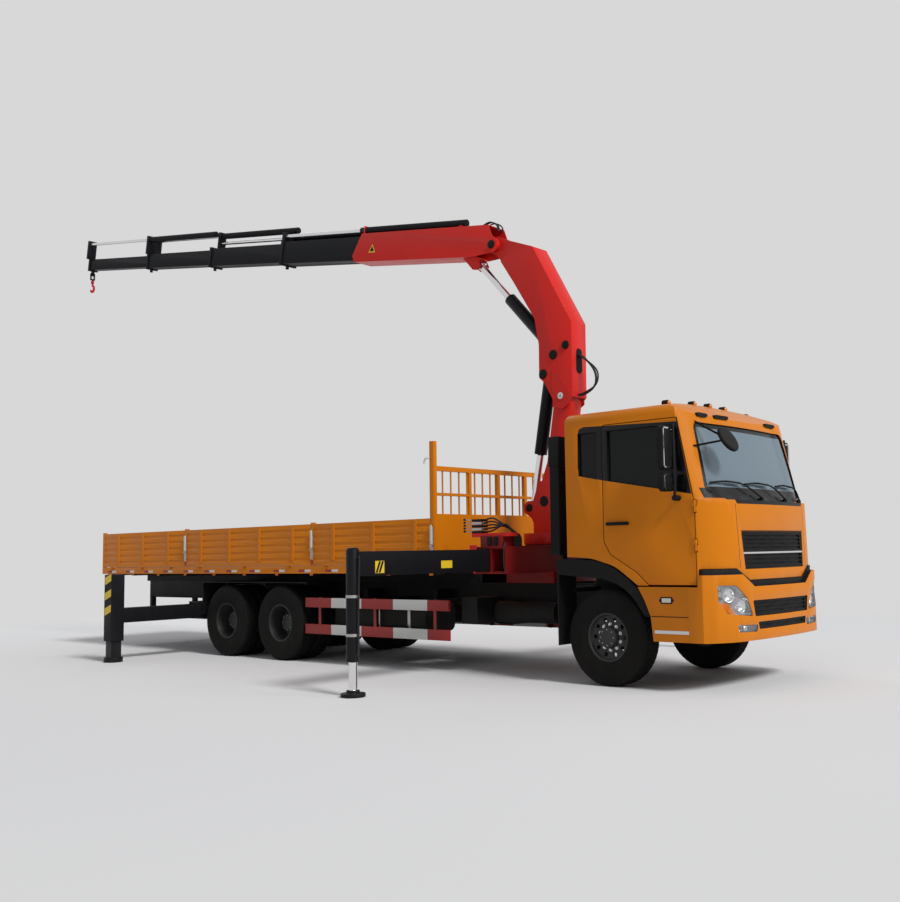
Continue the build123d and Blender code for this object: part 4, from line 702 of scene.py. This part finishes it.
class TRUCK_OT_cab(bpy.types.Operator):
    """Cab, doors, glass, seats and the trim on them"""
    bl_idname = "truck.cab"
    bl_label = "Cab"

    def execute(self, context):
        def front(f, c):
            return f.normal.x > 0.25 and f.normal.dot(HEART - c) < 0 and c.x > AXLE + 0.95

        def mouth(f, c):
            return abs(c.y) < 0.715 and 1.25 < c.z < 1.64 and AXLE + 1.36 < c.x < nose_x(c.y, c.z) - 0.003

        def ledge(f, c):
            return f.normal.z > 0.9 and abs(c.z - 1.965) < 0.012 and c.x > AXLE + 1.0

        def paint_cab(bm):
            paint_where(bm, 2, lambda f, c: f.normal.dot(HEART - c) > 0)
            for s in (1, -1):
                zone(bm, lambda f, c: f.normal.y * s > 0.9 and abs(c.y) > 1.19, BAND, "xz", 1)
                seam = ((0.785, 1.925), (0.778, 1.925), (0.757, 1.26), (0.764, 1.26))
                zone(bm, front, [(s * y, z) for y, z in seam], "yz", 1)
            zone(bm, front, [(-1.13, 2.09), (-1.10, 1.985), (1.10, 1.985), (1.13, 2.09)], "yz", 1)
            zone(bm, front, [(-0.80, 1.99), (-0.75, 1.925), (0.75, 1.925), (0.80, 1.99)], "yz", 1)
            paint_where(bm, 1, ledge)
            paint_where(bm, 1, mouth)

        dress("cab_shell", ["Orange paint", "Gloss black", "Black plastic"], paint_cab, bevel=0.006)
        door_tones = ["Orange paint", "Gloss black", "Black plastic", "Mirror glass"]
        for side, s in SIDES:
            def paint_door(bm):
                paint_where(bm, 2, lambda f, c: f.normal.y * s < 0.3 and abs(c.y) < 1.19)
                zone(bm, lambda f, c: f.normal.y * s > 0.9 and 1.19 < abs(c.y) < 1.205, BAND, "xz", 1)
                paint_where(bm, 2, lambda f, c: abs(c.y) > 1.204 and c.x < AXLE + 1.1)
                paint_where(bm, 3, lambda f, c: abs(c.y) > 1.25 and c.z > 2.0 and f.normal.x < -0.95)

            dress("door_" + side, door_tones, paint_door, bevel=0.004)
            dress("door_glass_" + side, ["Window glass"], bevel=0.0)
            trim = Kit()
            y0, y1, w = 1.262, 1.428, 0.014
            for z0, z1 in ((2.30, 2.72), (2.07, 2.23)):
                for ys, zs in (((y0, y1), (z0, z0 + w)), ((y0, y1), (z1 - w, z1)),
                               ((y0, y0 + w), (z0, z1)), ((y1 - w, y1), (z0, z1))):
                    trim.slab(s, (0.958, 0.965), ys, zs, "Chrome")
            trim.make("mirror_frames_" + side, "door_" + side, "rod_chrome")

        def screen(f, c):
            return c.x > AXLE + 0.8

        def paint_glass(bm):
            paint_where(bm, 2, lambda f, c: abs(c.y) > 1.1 and c.x < AXLE + 0.5)
            paint_where(bm, 1, screen)
            zone(bm, screen, [(-1.01, 2.105), (-0.955, 2.745), (0.955, 2.745), (1.01, 2.105)], "yz", 0)

        def under_side(f, c):
            return f.normal.x < -0.6 and f.normal.z < -0.3 and c.x > AXLE + 1.3

        dress("cab_glass", ["Windscreen", "Gloss black", "Window glass"], paint_glass, bevel=0.0)
        dress("cab_interior", ["Black plastic", "Seat cloth"],
              marked(lambda f, c: c.x < AXLE + 0.66 and c.z > 1.69), bevel=0.02, segments=3)
        dress("front_mirror", ["Black plastic", "Mirror glass"], marked(under_side), bevel=0.002)
        dress("intake_stack", bevel=0.008)

        wipers = Kit()
        for y0, y1, pivot in ((-1.0, -0.46, -0.12), (-0.38, 0.16, 0.47), (0.34, 0.80, 0.90)):
            mid = (y0 + y1) / 2
            blade = [(screen_x(y, z) + 0.016, y, z) for y, z in ((y0, 2.145), (mid, 2.165), (y1, 2.155))]
            wipers.tube(blade, 0.010, "Black plastic", 8)
            knee = (screen_x(mid, 2.165) + 0.030, mid, 2.165)
            elbow = (screen_x(y1, 2.13) + 0.036, y1 + 0.04, 2.135)
            base = (screen_x(pivot, 2.0) + 0.042, pivot, 1.995)
            wipers.tube([knee, elbow, base], 0.009, "Black plastic", 8)
            boss = [(0, 0.026), (0.03, 0.026), (0.045, 0.016)]
            wipers.lathe((base[0] - 0.02, pivot, 1.967), (0.25, 0, 1), boss, "Black plastic", 14)
        wipers.make("wipers", "truck", "black_plastic")

        trim = Kit()
        for y0, y1 in ((-0.92, -0.70), (-0.57, -0.30), (0.60, 0.86)):
            rows = []
            for y in (y0, y0 + 0.03, y1 - 0.03, y1):
                x, z = screen_x(y, 2.885) - 0.01, 2.885
                h = 0.012 if y in (y0, y1) else 0.020
                rows.append([(x, y, z - h), (x + 0.034, y, z - h), (x + 0.034, y, z + h), (x, y, z + h)])
            trim.skin(rows, "Black plastic")
        for s in (1, -1):
            lamp = ahead((0.73, 0.94), (0.755, 0.905), (0.885, 0.905), (0.91, 0.94),
                         (0.885, 0.975), (0.755, 0.975))
            trim.plate(lamp, "xz", *span(s, 1.2345, 1.2385), "Black plastic")
            trim.slab(s, (0.765, 0.875), (1.238, 1.2396), (0.918, 0.962), "White plastic")
            trim.slab(s, (0.668, 1.085), (1.20, 1.2396), (0.598, 0.632), "Aluminium")
            trim.slab(s, (0.63, 1.088), (1.20, 1.2396), (0.768, 0.775), "Black plastic")
        trim.make("cab_trim", "truck", "black_plastic", 0.002)
        return {"FINISHED"}


class TRUCK_OT_front(bpy.types.Operator):
    """Bumper, grilles and lamps"""
    bl_idname = "truck.front"
    bl_label = "Front"

    def execute(self, context):
        def recess(f, c):
            return AXLE + 1.1 < c.x < bumper_x(c.y) - 0.006 and f.normal.x < 0.9 and abs(c.y) < 1.192

        def paint_bumper(bm):
            paint_where(bm, 1, recess)
            paint_where(bm, 1, lambda f, c: abs(c.y) < 1.149 and c.x < AXLE + 1.3)

        dress("front_bumper", ["Orange paint", "Black plastic"], paint_bumper, bevel=0.005)
        dress("front_grille", bevel=0.003)

        def paint_lamps(bm):
            paint_where(bm, 1, lambda f, c: f.normal.x < 0.3)
            paint_where(bm, 2, lambda f, c: c.z > 2.5)
            paint_where(bm, 3, lambda f, c: c.z > 2.5 and f.normal.x > 0.45)
            for s in (1, -1):
                def lens(f, c):
                    return f.normal.x > 0.3 and 0.7 < c.z < 1.2 and c.y * s > 0

                amber = ((0.90, 0.75), (1.15, 0.75), (1.15, 0.925), (1.02, 0.905))
                zone(bm, lens, [(s * y, z) for y, z in amber], "yz", 4)

        dress("front_lamps", ["Lamp lens", "Chrome", "Black plastic", "Amber lens", "Amber glass"],
              paint_lamps, bevel=0.0)
        bright = Kit()
        bowl = ((0, 0.3), (0.012, 0.62), (0.03, 0.86), (0.055, 1.0), (0.053, 0.93), (0.03, 0.78),
                (0.016, 0.5), (0.014, 0.1))
        light = ((0, 0.16), (0.03, 0.2), (0.042, 0.12))
        for s in (1, -1):
            for y, z, r, tone, bulb in (
                (0.985, 0.985, 0.070, "Chrome", "White plastic"),
                (0.815, 0.868, 0.064, "Chrome", "White plastic"),
                (1.005, 0.858, 0.044, "Amber lens", "Amber lens"),
                (0.76, 0.643, 0.030, "Chrome", "White plastic"),
            ):
                way = Vector((1, s * 0.45 if y > 0.9 else s * 0.2, 0)).normalized()
                start = Vector((bumper_x(y), s * y, z)) - way * 0.085
                bright.lathe(start, way, [(d, r * k) for d, k in bowl], tone, 28)
                bright.lathe(start + way * 0.013, way, [(d, r * k) for d, k in light], bulb, 14)
        bright.make("lamp_insides", "truck", "rod_chrome")
        strip = Kit()
        for z, h, half, back in (
            (1.412, 0.010, 0.69, 0.004), (1.640, 0.006, 0.715, 0.0), (1.252, 0.006, 0.675, 0.0),
        ):
            rows = []
            for k in range(17):
                y = -half + 2 * half * k / 16
                x = nose_x(y, z) - back
                x0, x1 = x - 0.006, x + 0.004
                rows.append([(x0, y, z - h), (x1, y, z - h), (x1, y, z + h), (x0, y, z + h)])
            strip.skin(rows, "Chrome" if back else "Black plastic")
        strip.make("grille_strips", "truck", "black_plastic", 0.002)
        return {"FINISHED"}


class TRUCK_OT_bed(bpy.types.Operator):
    """Bed, drop sides, latches and reflectors"""
    bl_idname = "truck.bed"
    bl_label = "Bed"

    def execute(self, context):
        def deck(f, c):
            return f.normal.z > 0.9 and abs(c.z - 1.33) < 0.004 and abs(c.y) < 1.2

        def paint_bed(bm):
            paint_where(bm, 1, lambda f, c: c.z < 1.3 and abs(c.y) < 1.194 and c.x > BED_LOW.x + 0.02)
            paint_where(bm, 2, deck)

        dress("bed", ["Orange paint", "Chassis paint", "Deck"], paint_bed, bevel=0.004)
        for node in sorted(NODES):
            if node == "tailgate" or node.startswith("side_") and node != "side_gear":
                dress(node, bevel=0.003)
        latches = Kit()
        marks = Kit()
        for s in (-1, 1):
            for x in (-8.0, -4.89, -2.555):
                latches.slab(s, (x - 0.026, x + 0.026), (1.2445, 1.256), (1.42, 1.80), "Worn steel")
                latches.slab(s, (x - 0.014, x + 0.014), (1.255, 1.274), (1.58, 1.82), "White plastic")
                ends = ahead((x - 0.03, s * 1.263, 1.56), (x + 0.03, s * 1.263, 1.56))
                latches.rod(*ends, 0.012, "Worn steel", 12)
                for z in (1.45, 1.52):
                    latches.bolt(at(x, s * 1.2555, z), (0, s, 0), 0.008)
                marks.slab(s, (x - 0.022, x + 0.022), (1.2445, 1.2475), (1.345, 1.41), "Red tape")
            for k in range(14):
                x = -2.75 - k * 0.575
                marks.slab(s, (x - 0.13, x), (1.2445, 1.2472), (1.245, 1.280), "Red tape")
                marks.slab(s, (x, x + 0.13), (1.2445, 1.2472), (1.245, 1.280), "White tape")
            rope_hook = ahead(
                (-2.59, s * 1.243, 2.66), (-2.61, s * 1.275, 2.66), (-2.64, s * 1.28, 2.63),
                (-2.65, s * 1.28, 2.59))
            latches.tube(rope_hook, 0.012, "White plastic", 10)
            for k, tone in enumerate(("Red lens", "White plastic", "Amber lens")):
                marks.slab(s, (-10.38, -10.358), (0.80 + k * 0.11, 0.90 + k * 0.11), (0.435, 0.525), tone)
        latches.make("latches", "truck", "rod_chrome", 0.003)
        marks.make("reflectors", "truck", "lamp_glass", 0.001)
        return {"FINISHED"}


class TRUCK_OT_chassis(bpy.types.Operator):
    """Frame, axles, arches, guards and tanks"""
    bl_idname = "truck.chassis"
    bl_label = "Chassis"

    def execute(self, context):
        for node in ("chassis_frame", "steer_right", "steer_left", "wheel_arches", "rear_tube"):
            dress(node)

        def guard(f, c):
            return abs(c.y) > 1.1645 and c.z < 0.895

        def paint_gear(bm):
            paint_where(bm, 1, guard)
            for x0, x1 in ((-4.54, -3.93), (-3.32, -2.70)):
                zone(bm, guard, ahead((x0, 0.35), (x1, 0.35), (x1, 0.91), (x0, 0.91)), "xz", 2)

        dress("side_gear", ["Chassis paint", "Red tape", "White tape"], paint_gear)
        gear = Kit()
        cap = [(0, 0.05), (0.02, 0.05), (0.022, 0.06), (0.05, 0.06), (0.056, 0.05)]
        liner = ahead((-0.60, 1.08), (0.42, 1.08), (0.15, 1.27), (-0.167, 1.36), (-0.60, 1.37))
        w, h, r = 0.273, 0.188, 0.098
        quarters = ((w - r, h - r, 0), (r - w, h - r, 90), (r - w, r - h, 180), (w - r, r - h, 270))
        for s in (1, -1):
            for x in (-4.3, -3.72, -3.15):
                strap = []
                for cy, cz, t0 in quarters:
                    for k in range(6):
                        t = math.radians(t0 + k * 18)
                        strap.append((s * 0.81 + cy + r * math.cos(t), 0.655 + cz + r * math.sin(t)))
                gear.plate(strap, "yz", AXLE + x - 0.025, AXLE + x + 0.025, "Worn steel")
            gear.lathe(at(-2.9, s * 0.98, 0.835), (0, 0, 1), cap, "Black plastic", 20)
            gear.rod(at(-1.95, s * 0.66, 0.74), at(-1.02, s * 0.66, 0.74), 0.13, "Chassis paint", 28)
            for x in (-1.8, -1.2):
                gear.slab(s, (x - 0.02, x + 0.02), (0.426, 0.62), (0.82, 0.875), "Chassis paint")
            gear.slab(s, (-2.28, -2.02), (0.55, 1.02), (0.60, 0.92), "Black plastic")
            gear.slab(s, (-2.2, -2.1), (0.426, 0.56), (0.84, 0.88), "Chassis paint")
            gear.plate(liner, "xz", *span(s, 0.498, 0.502), "Chassis paint")
        gear.make("tank_fittings", "truck", "chassis_black", 0.004)
        return {"FINISHED"}


class TRUCK_OT_crane(bpy.types.Operator):
    """Column, booms, cylinders, hoses and the valve bank"""
    bl_idname = "truck.crane"
    bl_label = "Crane"

    def execute(self, context):
        hose = settings()[1].hose
        # The base wears the darker red, which paints its shade as well as its oil.
        dress("crane_base", ["Oily base red with painted shade"])
        dress("column")
        inside = Vector((AXLE - 1.6, 0, 4.4))

        def hollow(f, c):
            return abs(f.normal.y) < 0.5 and abs(c.y) < 0.12 and f.normal.dot(inside - c) > 0

        dress("main_boom", ["Red paint", "Black plastic"], marked(hollow))

        def near(f, line, r):
            spots = [boom_place(v.co) for v in f.verts]
            return all(math.hypot(y - line[0], z - line[1]) < r for y, z in spots)

        dress("outer_boom", ["Red paint", "Black paint"],
              marked(lambda f, c: near(f, ROD_LINES[1], 0.054)), bevel=0.004)
        for k in (1, 2, 3, 4):
            dress("section_%d" % k, ["Black paint", "Chrome"],
                  marked(lambda f, c: near(f, ROD_LINES[k], 0.0295)), bevel=0.003)
        for node in ("lift_barrel", "knuckle_barrel", "lift_rod", "knuckle_rod"):
            dress(node, bevel=0.003)
        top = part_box("hook")[1].z
        dress("hook", ["Red paint", "Black paint"], marked(lambda f, c: c.z > top - 0.148), bevel=0.002)

        pins = Kit()
        ear = ahead((-1.46, 3.29), (-1.30, 3.25), (-1.19, 3.32), (-1.19, 3.46), (-1.43, 3.82),
                    (-1.47, 3.80))
        for s in (1, -1):
            for x, z, r in ((-1.61, 3.73, 0.062), (-1.44, 3.96, 0.062), (-1.24, 4.06, 0.055)):
                head = [(0, r), (0.014, r), (0.018, r * 0.88), (0.019, r * 0.3)]
                pins.lathe(at(x, s * 0.1495, z), (0, s, 0), head, "Black plastic", 24)
            pins.plate(ear, "xz", *span(s, 0.1495, 0.158), "Red paint")
        mouth = []
        for k in range(24):
            t = 2 * math.pi * (k + 0.5) / 24
            rise = math.copysign(0.10, math.sin(t))
            mouth.append((0.062 * math.cos(t), 3.86 + rise + 0.062 * math.sin(t)))
        pins.plate(mouth, "yz", AXLE - 1.152, AXLE - 1.1405, "Black plastic")
        pins.make("boom_pins", "main_boom", "black_plastic", 0.002)
        loops = Kit()
        for y, reach in ((-0.03, 0.30), (0.0, 0.24), (0.03, 0.20)):
            loops.tube(ahead(
                (-1.16, y, 3.93), (-1.08, y, 3.90), (reach - 1.14, y * 1.6, 3.70),
                (reach * 0.9 - 1.13, y * 1.6, 3.52), (-1.09, y, 3.43), (-1.165, y, 3.43)),
                hose, "Hose rubber")
        loops.make("boom_hoses", "main_boom", "black_plastic")
        hoses = Kit()
        path = ((0.38, 0.262), (0.29, 0.30), (0.17, 0.335), (0.04, 0.29), (0.0, 0.205))
        for y in (-0.05, -0.02, 0.02):
            fan = math.copysign(0.04, y)
            spots = []
            for u, w in path:
                across = Vector((0, y + fan * (0.5 - u), 0))
                spots.append(KNUCKLE + BOOM_ALONG * u + BOOM_UP * w + across)
            hoses.tube(spots, hose * 0.9, "Hose rubber")
        spot = KNUCKLE + BOOM_ALONG * 2.42 + BOOM_UP * 0.03
        sign = ((-1, -0.7), (1, -0.7), (0, 1))
        for size, tone, y in ((0.075, "Yellow label", 0.1715), (0.046, "Black plastic", 0.1725)):
            corners = [spot + BOOM_ALONG * u * size + BOOM_UP * w * size for u, w in sign]
            for s in (1, -1):
                hoses.skin([[(p.x, s * w, p.z) for p in corners] for w in (0.169, y)], tone)
        lid = [(0, 0.058), (0.008, 0.058), (0.012, 0.05)]
        for s in (1, -1):
            hoses.lathe((KNUCKLE.x, s * 0.1795, KNUCKLE.z), (0, s, 0), lid, "Black plastic", 24)
        hoses.make("outer_boom_fittings", "outer_boom", "black_plastic", 0.001)
        marks = Kit()
        washer = [(0, 0.043), (0.004, 0.043), (0.008, 0.034)]
        cover = [(0, 0.068), (0.006, 0.068), (0.008, 0.05)]
        plug = [(0, 0.05), (0.012, 0.05), (0.016, 0.04)]
        for s in (1, -1):
            way = (0, s, 0)
            marks.lathe(at(-1.33, s * 0.1635, 3.42), way, washer, "Aluminium", 24)
            marks.bolt(at(-1.33, s * 0.170, 3.42), way, 0.015, "Worn steel")
            marks.lathe(at(-1.62, s * 0.1745, 2.10), way, cover, "Black plastic", 28)
            marks.lathe(at(-1.93, s * 0.0945, 2.03), way, plug, "Black plastic", 24)
        marks.make("column_pins", "column", "black_plastic", 0.001)

        bank = Kit()
        knob = [(0, 0.008), (0.008, 0.014), (0.026, 0.014), (0.032, 0.008)]
        for k in range(5):
            y, z = -1.0 + 0.03 * k, 1.70 + 0.036 * k
            tone = "Worn steel" if k % 2 else "Black paint"
            bank.slab(1, (-2.02, -1.86), (-1.10, -0.98), (z, z + 0.030), tone)
            bank.rod(at(-2.01, -1.06, z + 0.015), at(-2.13, -1.09, z + 0.028), 0.007, "Worn steel", 10)
            bank.lathe(at(-2.125, -1.089, z + 0.027), (-1, -0.2, 0.1), knob, "Black plastic", 12)
            bank.tube(ahead(
                (-1.87, -1.04, z + 0.015), (-1.74, -1.03 + 0.01 * k, z + 0.03),
                (-1.55, y, 1.80 - 0.02 * k), (-1.475, y + 0.05, 1.66),
                (-1.468, y + 0.06, HOUSE_TOP - 0.004)), hose, "Hose rubber")
        bank.slab(1, (-2.0, -1.42), (-1.12, -0.94), (1.655, 1.70), "Red paint")
        bracket = ahead((-2.0, 1.56), (-1.89, 1.56), (-1.89, 1.25), (-1.93, 1.21), (-2.0, 1.32))
        for y in (-1.165, -1.155):
            bank.plate(bracket, "xz", y, y + 0.006, "Red paint")
        bank.tube(ahead(
            (-1.502, -1.10, 1.60), (-1.455, -1.14, 1.57), (-1.450, -1.165, 1.48), (-1.450, -1.168, 1.34),
            (-1.450, -1.148, 1.25)), hose * 0.8, "Hose rubber")
        for x in (-1.70, -1.60):
            bank.slab(1, (x - 0.03, x + 0.03), (-1.148, -1.128), (1.55, 1.65), "Black paint")
        bank.make("valve_bank", "truck", "red_paint", 0.003)
        return {"FINISHED"}


class TRUCK_OT_outriggers(bpy.types.Operator):
    """Outrigger beams, legs and their marks"""
    bl_idname = "truck.outriggers"
    bl_label = "Outriggers"

    def execute(self, context):
        hose = settings()[1].hose
        upright = (0, 0, 1)
        drop = ((0.066, 1.44), (0.10, 1.45), (0.105, 1.40), (0.10, 1.22), (0.085, 0.80), (0.083, 0.50),
                (0.066, 0.43))
        lid = [(0, 0.055), (0.012, 0.055), (0.016, 0.045)]
        band = [(0, 0.0695), (0, 0.074), (0.03, 0.074), (0.03, 0.0695)]
        bar = ((-0.085, 0), (0.085, 0.06), (0.085, 0.165), (-0.085, 0.105))
        for side, s in SIDES:
            dress("front_beam_" + side)
            dress("rear_beam_" + side)
            dress("front_leg_" + side, ["Black paint", "Chrome"],
                  marked(lambda f, c: c.z > 0.09 and abs(f.normal.z) < 0.5))
            dress("rear_leg_" + side)
            lo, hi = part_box("front_leg_" + side)
            x, y = (lo.x + hi.x) / 2, (lo.y + hi.y) / 2
            face = x + 0.0945
            marks = Kit()
            low, high = span(s, 2.97, 2.84)
            marks.block((face, low, 1.27), (face + 0.0025, high, 1.40), "Yellow label")
            for u in (0.004, 0.046):
                corners = ((u, 1.274), (u + 0.028, 1.274), (u + 0.078, 1.396), (u + 0.050, 1.396))
                rings = [[(face + d, low + w, z) for w, z in corners] for d in (0.002, 0.0035)]
                marks.skin(rings, "Black plastic")
            low, high = span(s, 1.97, 1.79)
            marks.block((face, low, 1.30), (face + 0.0025, high, 1.385), "Yellow label")
            marks.lathe((x, y, 1.5295), upright, lid, "Black paint", 24)
            marks.tube([(x + d, y, z) for d, z in drop], hose * 0.8, "Hose rubber")
            for z in (0.62, 1.02):
                marks.lathe((x, y, z), upright, band, "Worn steel", 28, ends=False)
            marks.make("front_beam_marks_" + side, "front_beam_" + side, "black_paint", 0.0)
            lo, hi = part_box("rear_leg_" + side)
            x = (lo.x + hi.x) / 2
            y = s * 2.6995
            bars = Kit()
            for k in range(5):
                z = 0.66 + k * 0.11
                tone = "Yellow label" if k % 2 == 0 else "Black plastic"
                bars.skin([[(x + w, y + s * d, z + h) for w, h in bar] for d in (0, 0.002)], tone)
            bars.make("rear_beam_marks_" + side, "rear_beam_" + side, "black_paint", 0.0)
        return {"FINISHED"}


class TRUCK_PT_panel(bpy.types.Panel):
    """Sizes, colours and steps of the crane truck"""
    bl_idname = "TRUCK_PT_panel"
    bl_label = "Crane Truck"
    bl_space_type = "VIEW_3D"
    bl_region_type = "UI"
    bl_category = "Crane Truck"

    def draw(self, context):
        for group in settings():
            for key in group.__annotations__:
                self.layout.prop(group, key)
        for step in STEPS:
            self.layout.operator(step.bl_idname)


STEPS = (
    TRUCK_OT_stage, TRUCK_OT_finishes, TRUCK_OT_wheels, TRUCK_OT_cab, TRUCK_OT_front, TRUCK_OT_bed,
    TRUCK_OT_chassis, TRUCK_OT_crane, TRUCK_OT_outriggers,
)
CLASSES = (TruckColours, TruckSizes, *STEPS, TRUCK_PT_panel)


def register():
    for cls in CLASSES:
        bpy.utils.register_class(cls)
    bpy.types.Scene.truck_colours = PointerProperty(type=TruckColours)
    bpy.types.Scene.truck_sizes = PointerProperty(type=TruckSizes)


def unregister():
    del bpy.types.Scene.truck_sizes
    del bpy.types.Scene.truck_colours
    for cls in reversed(CLASSES):
        bpy.utils.unregister_class(cls)


def main():
    register()
    bpy.ops.truck.stage()
    bpy.ops.truck.finishes()
    bpy.ops.truck.wheels()
    bpy.ops.truck.cab()
    bpy.ops.truck.front()
    bpy.ops.truck.bed()
    bpy.ops.truck.chassis()
    bpy.ops.truck.crane()
    bpy.ops.truck.outriggers()


if __name__ == "__main__":
    main()
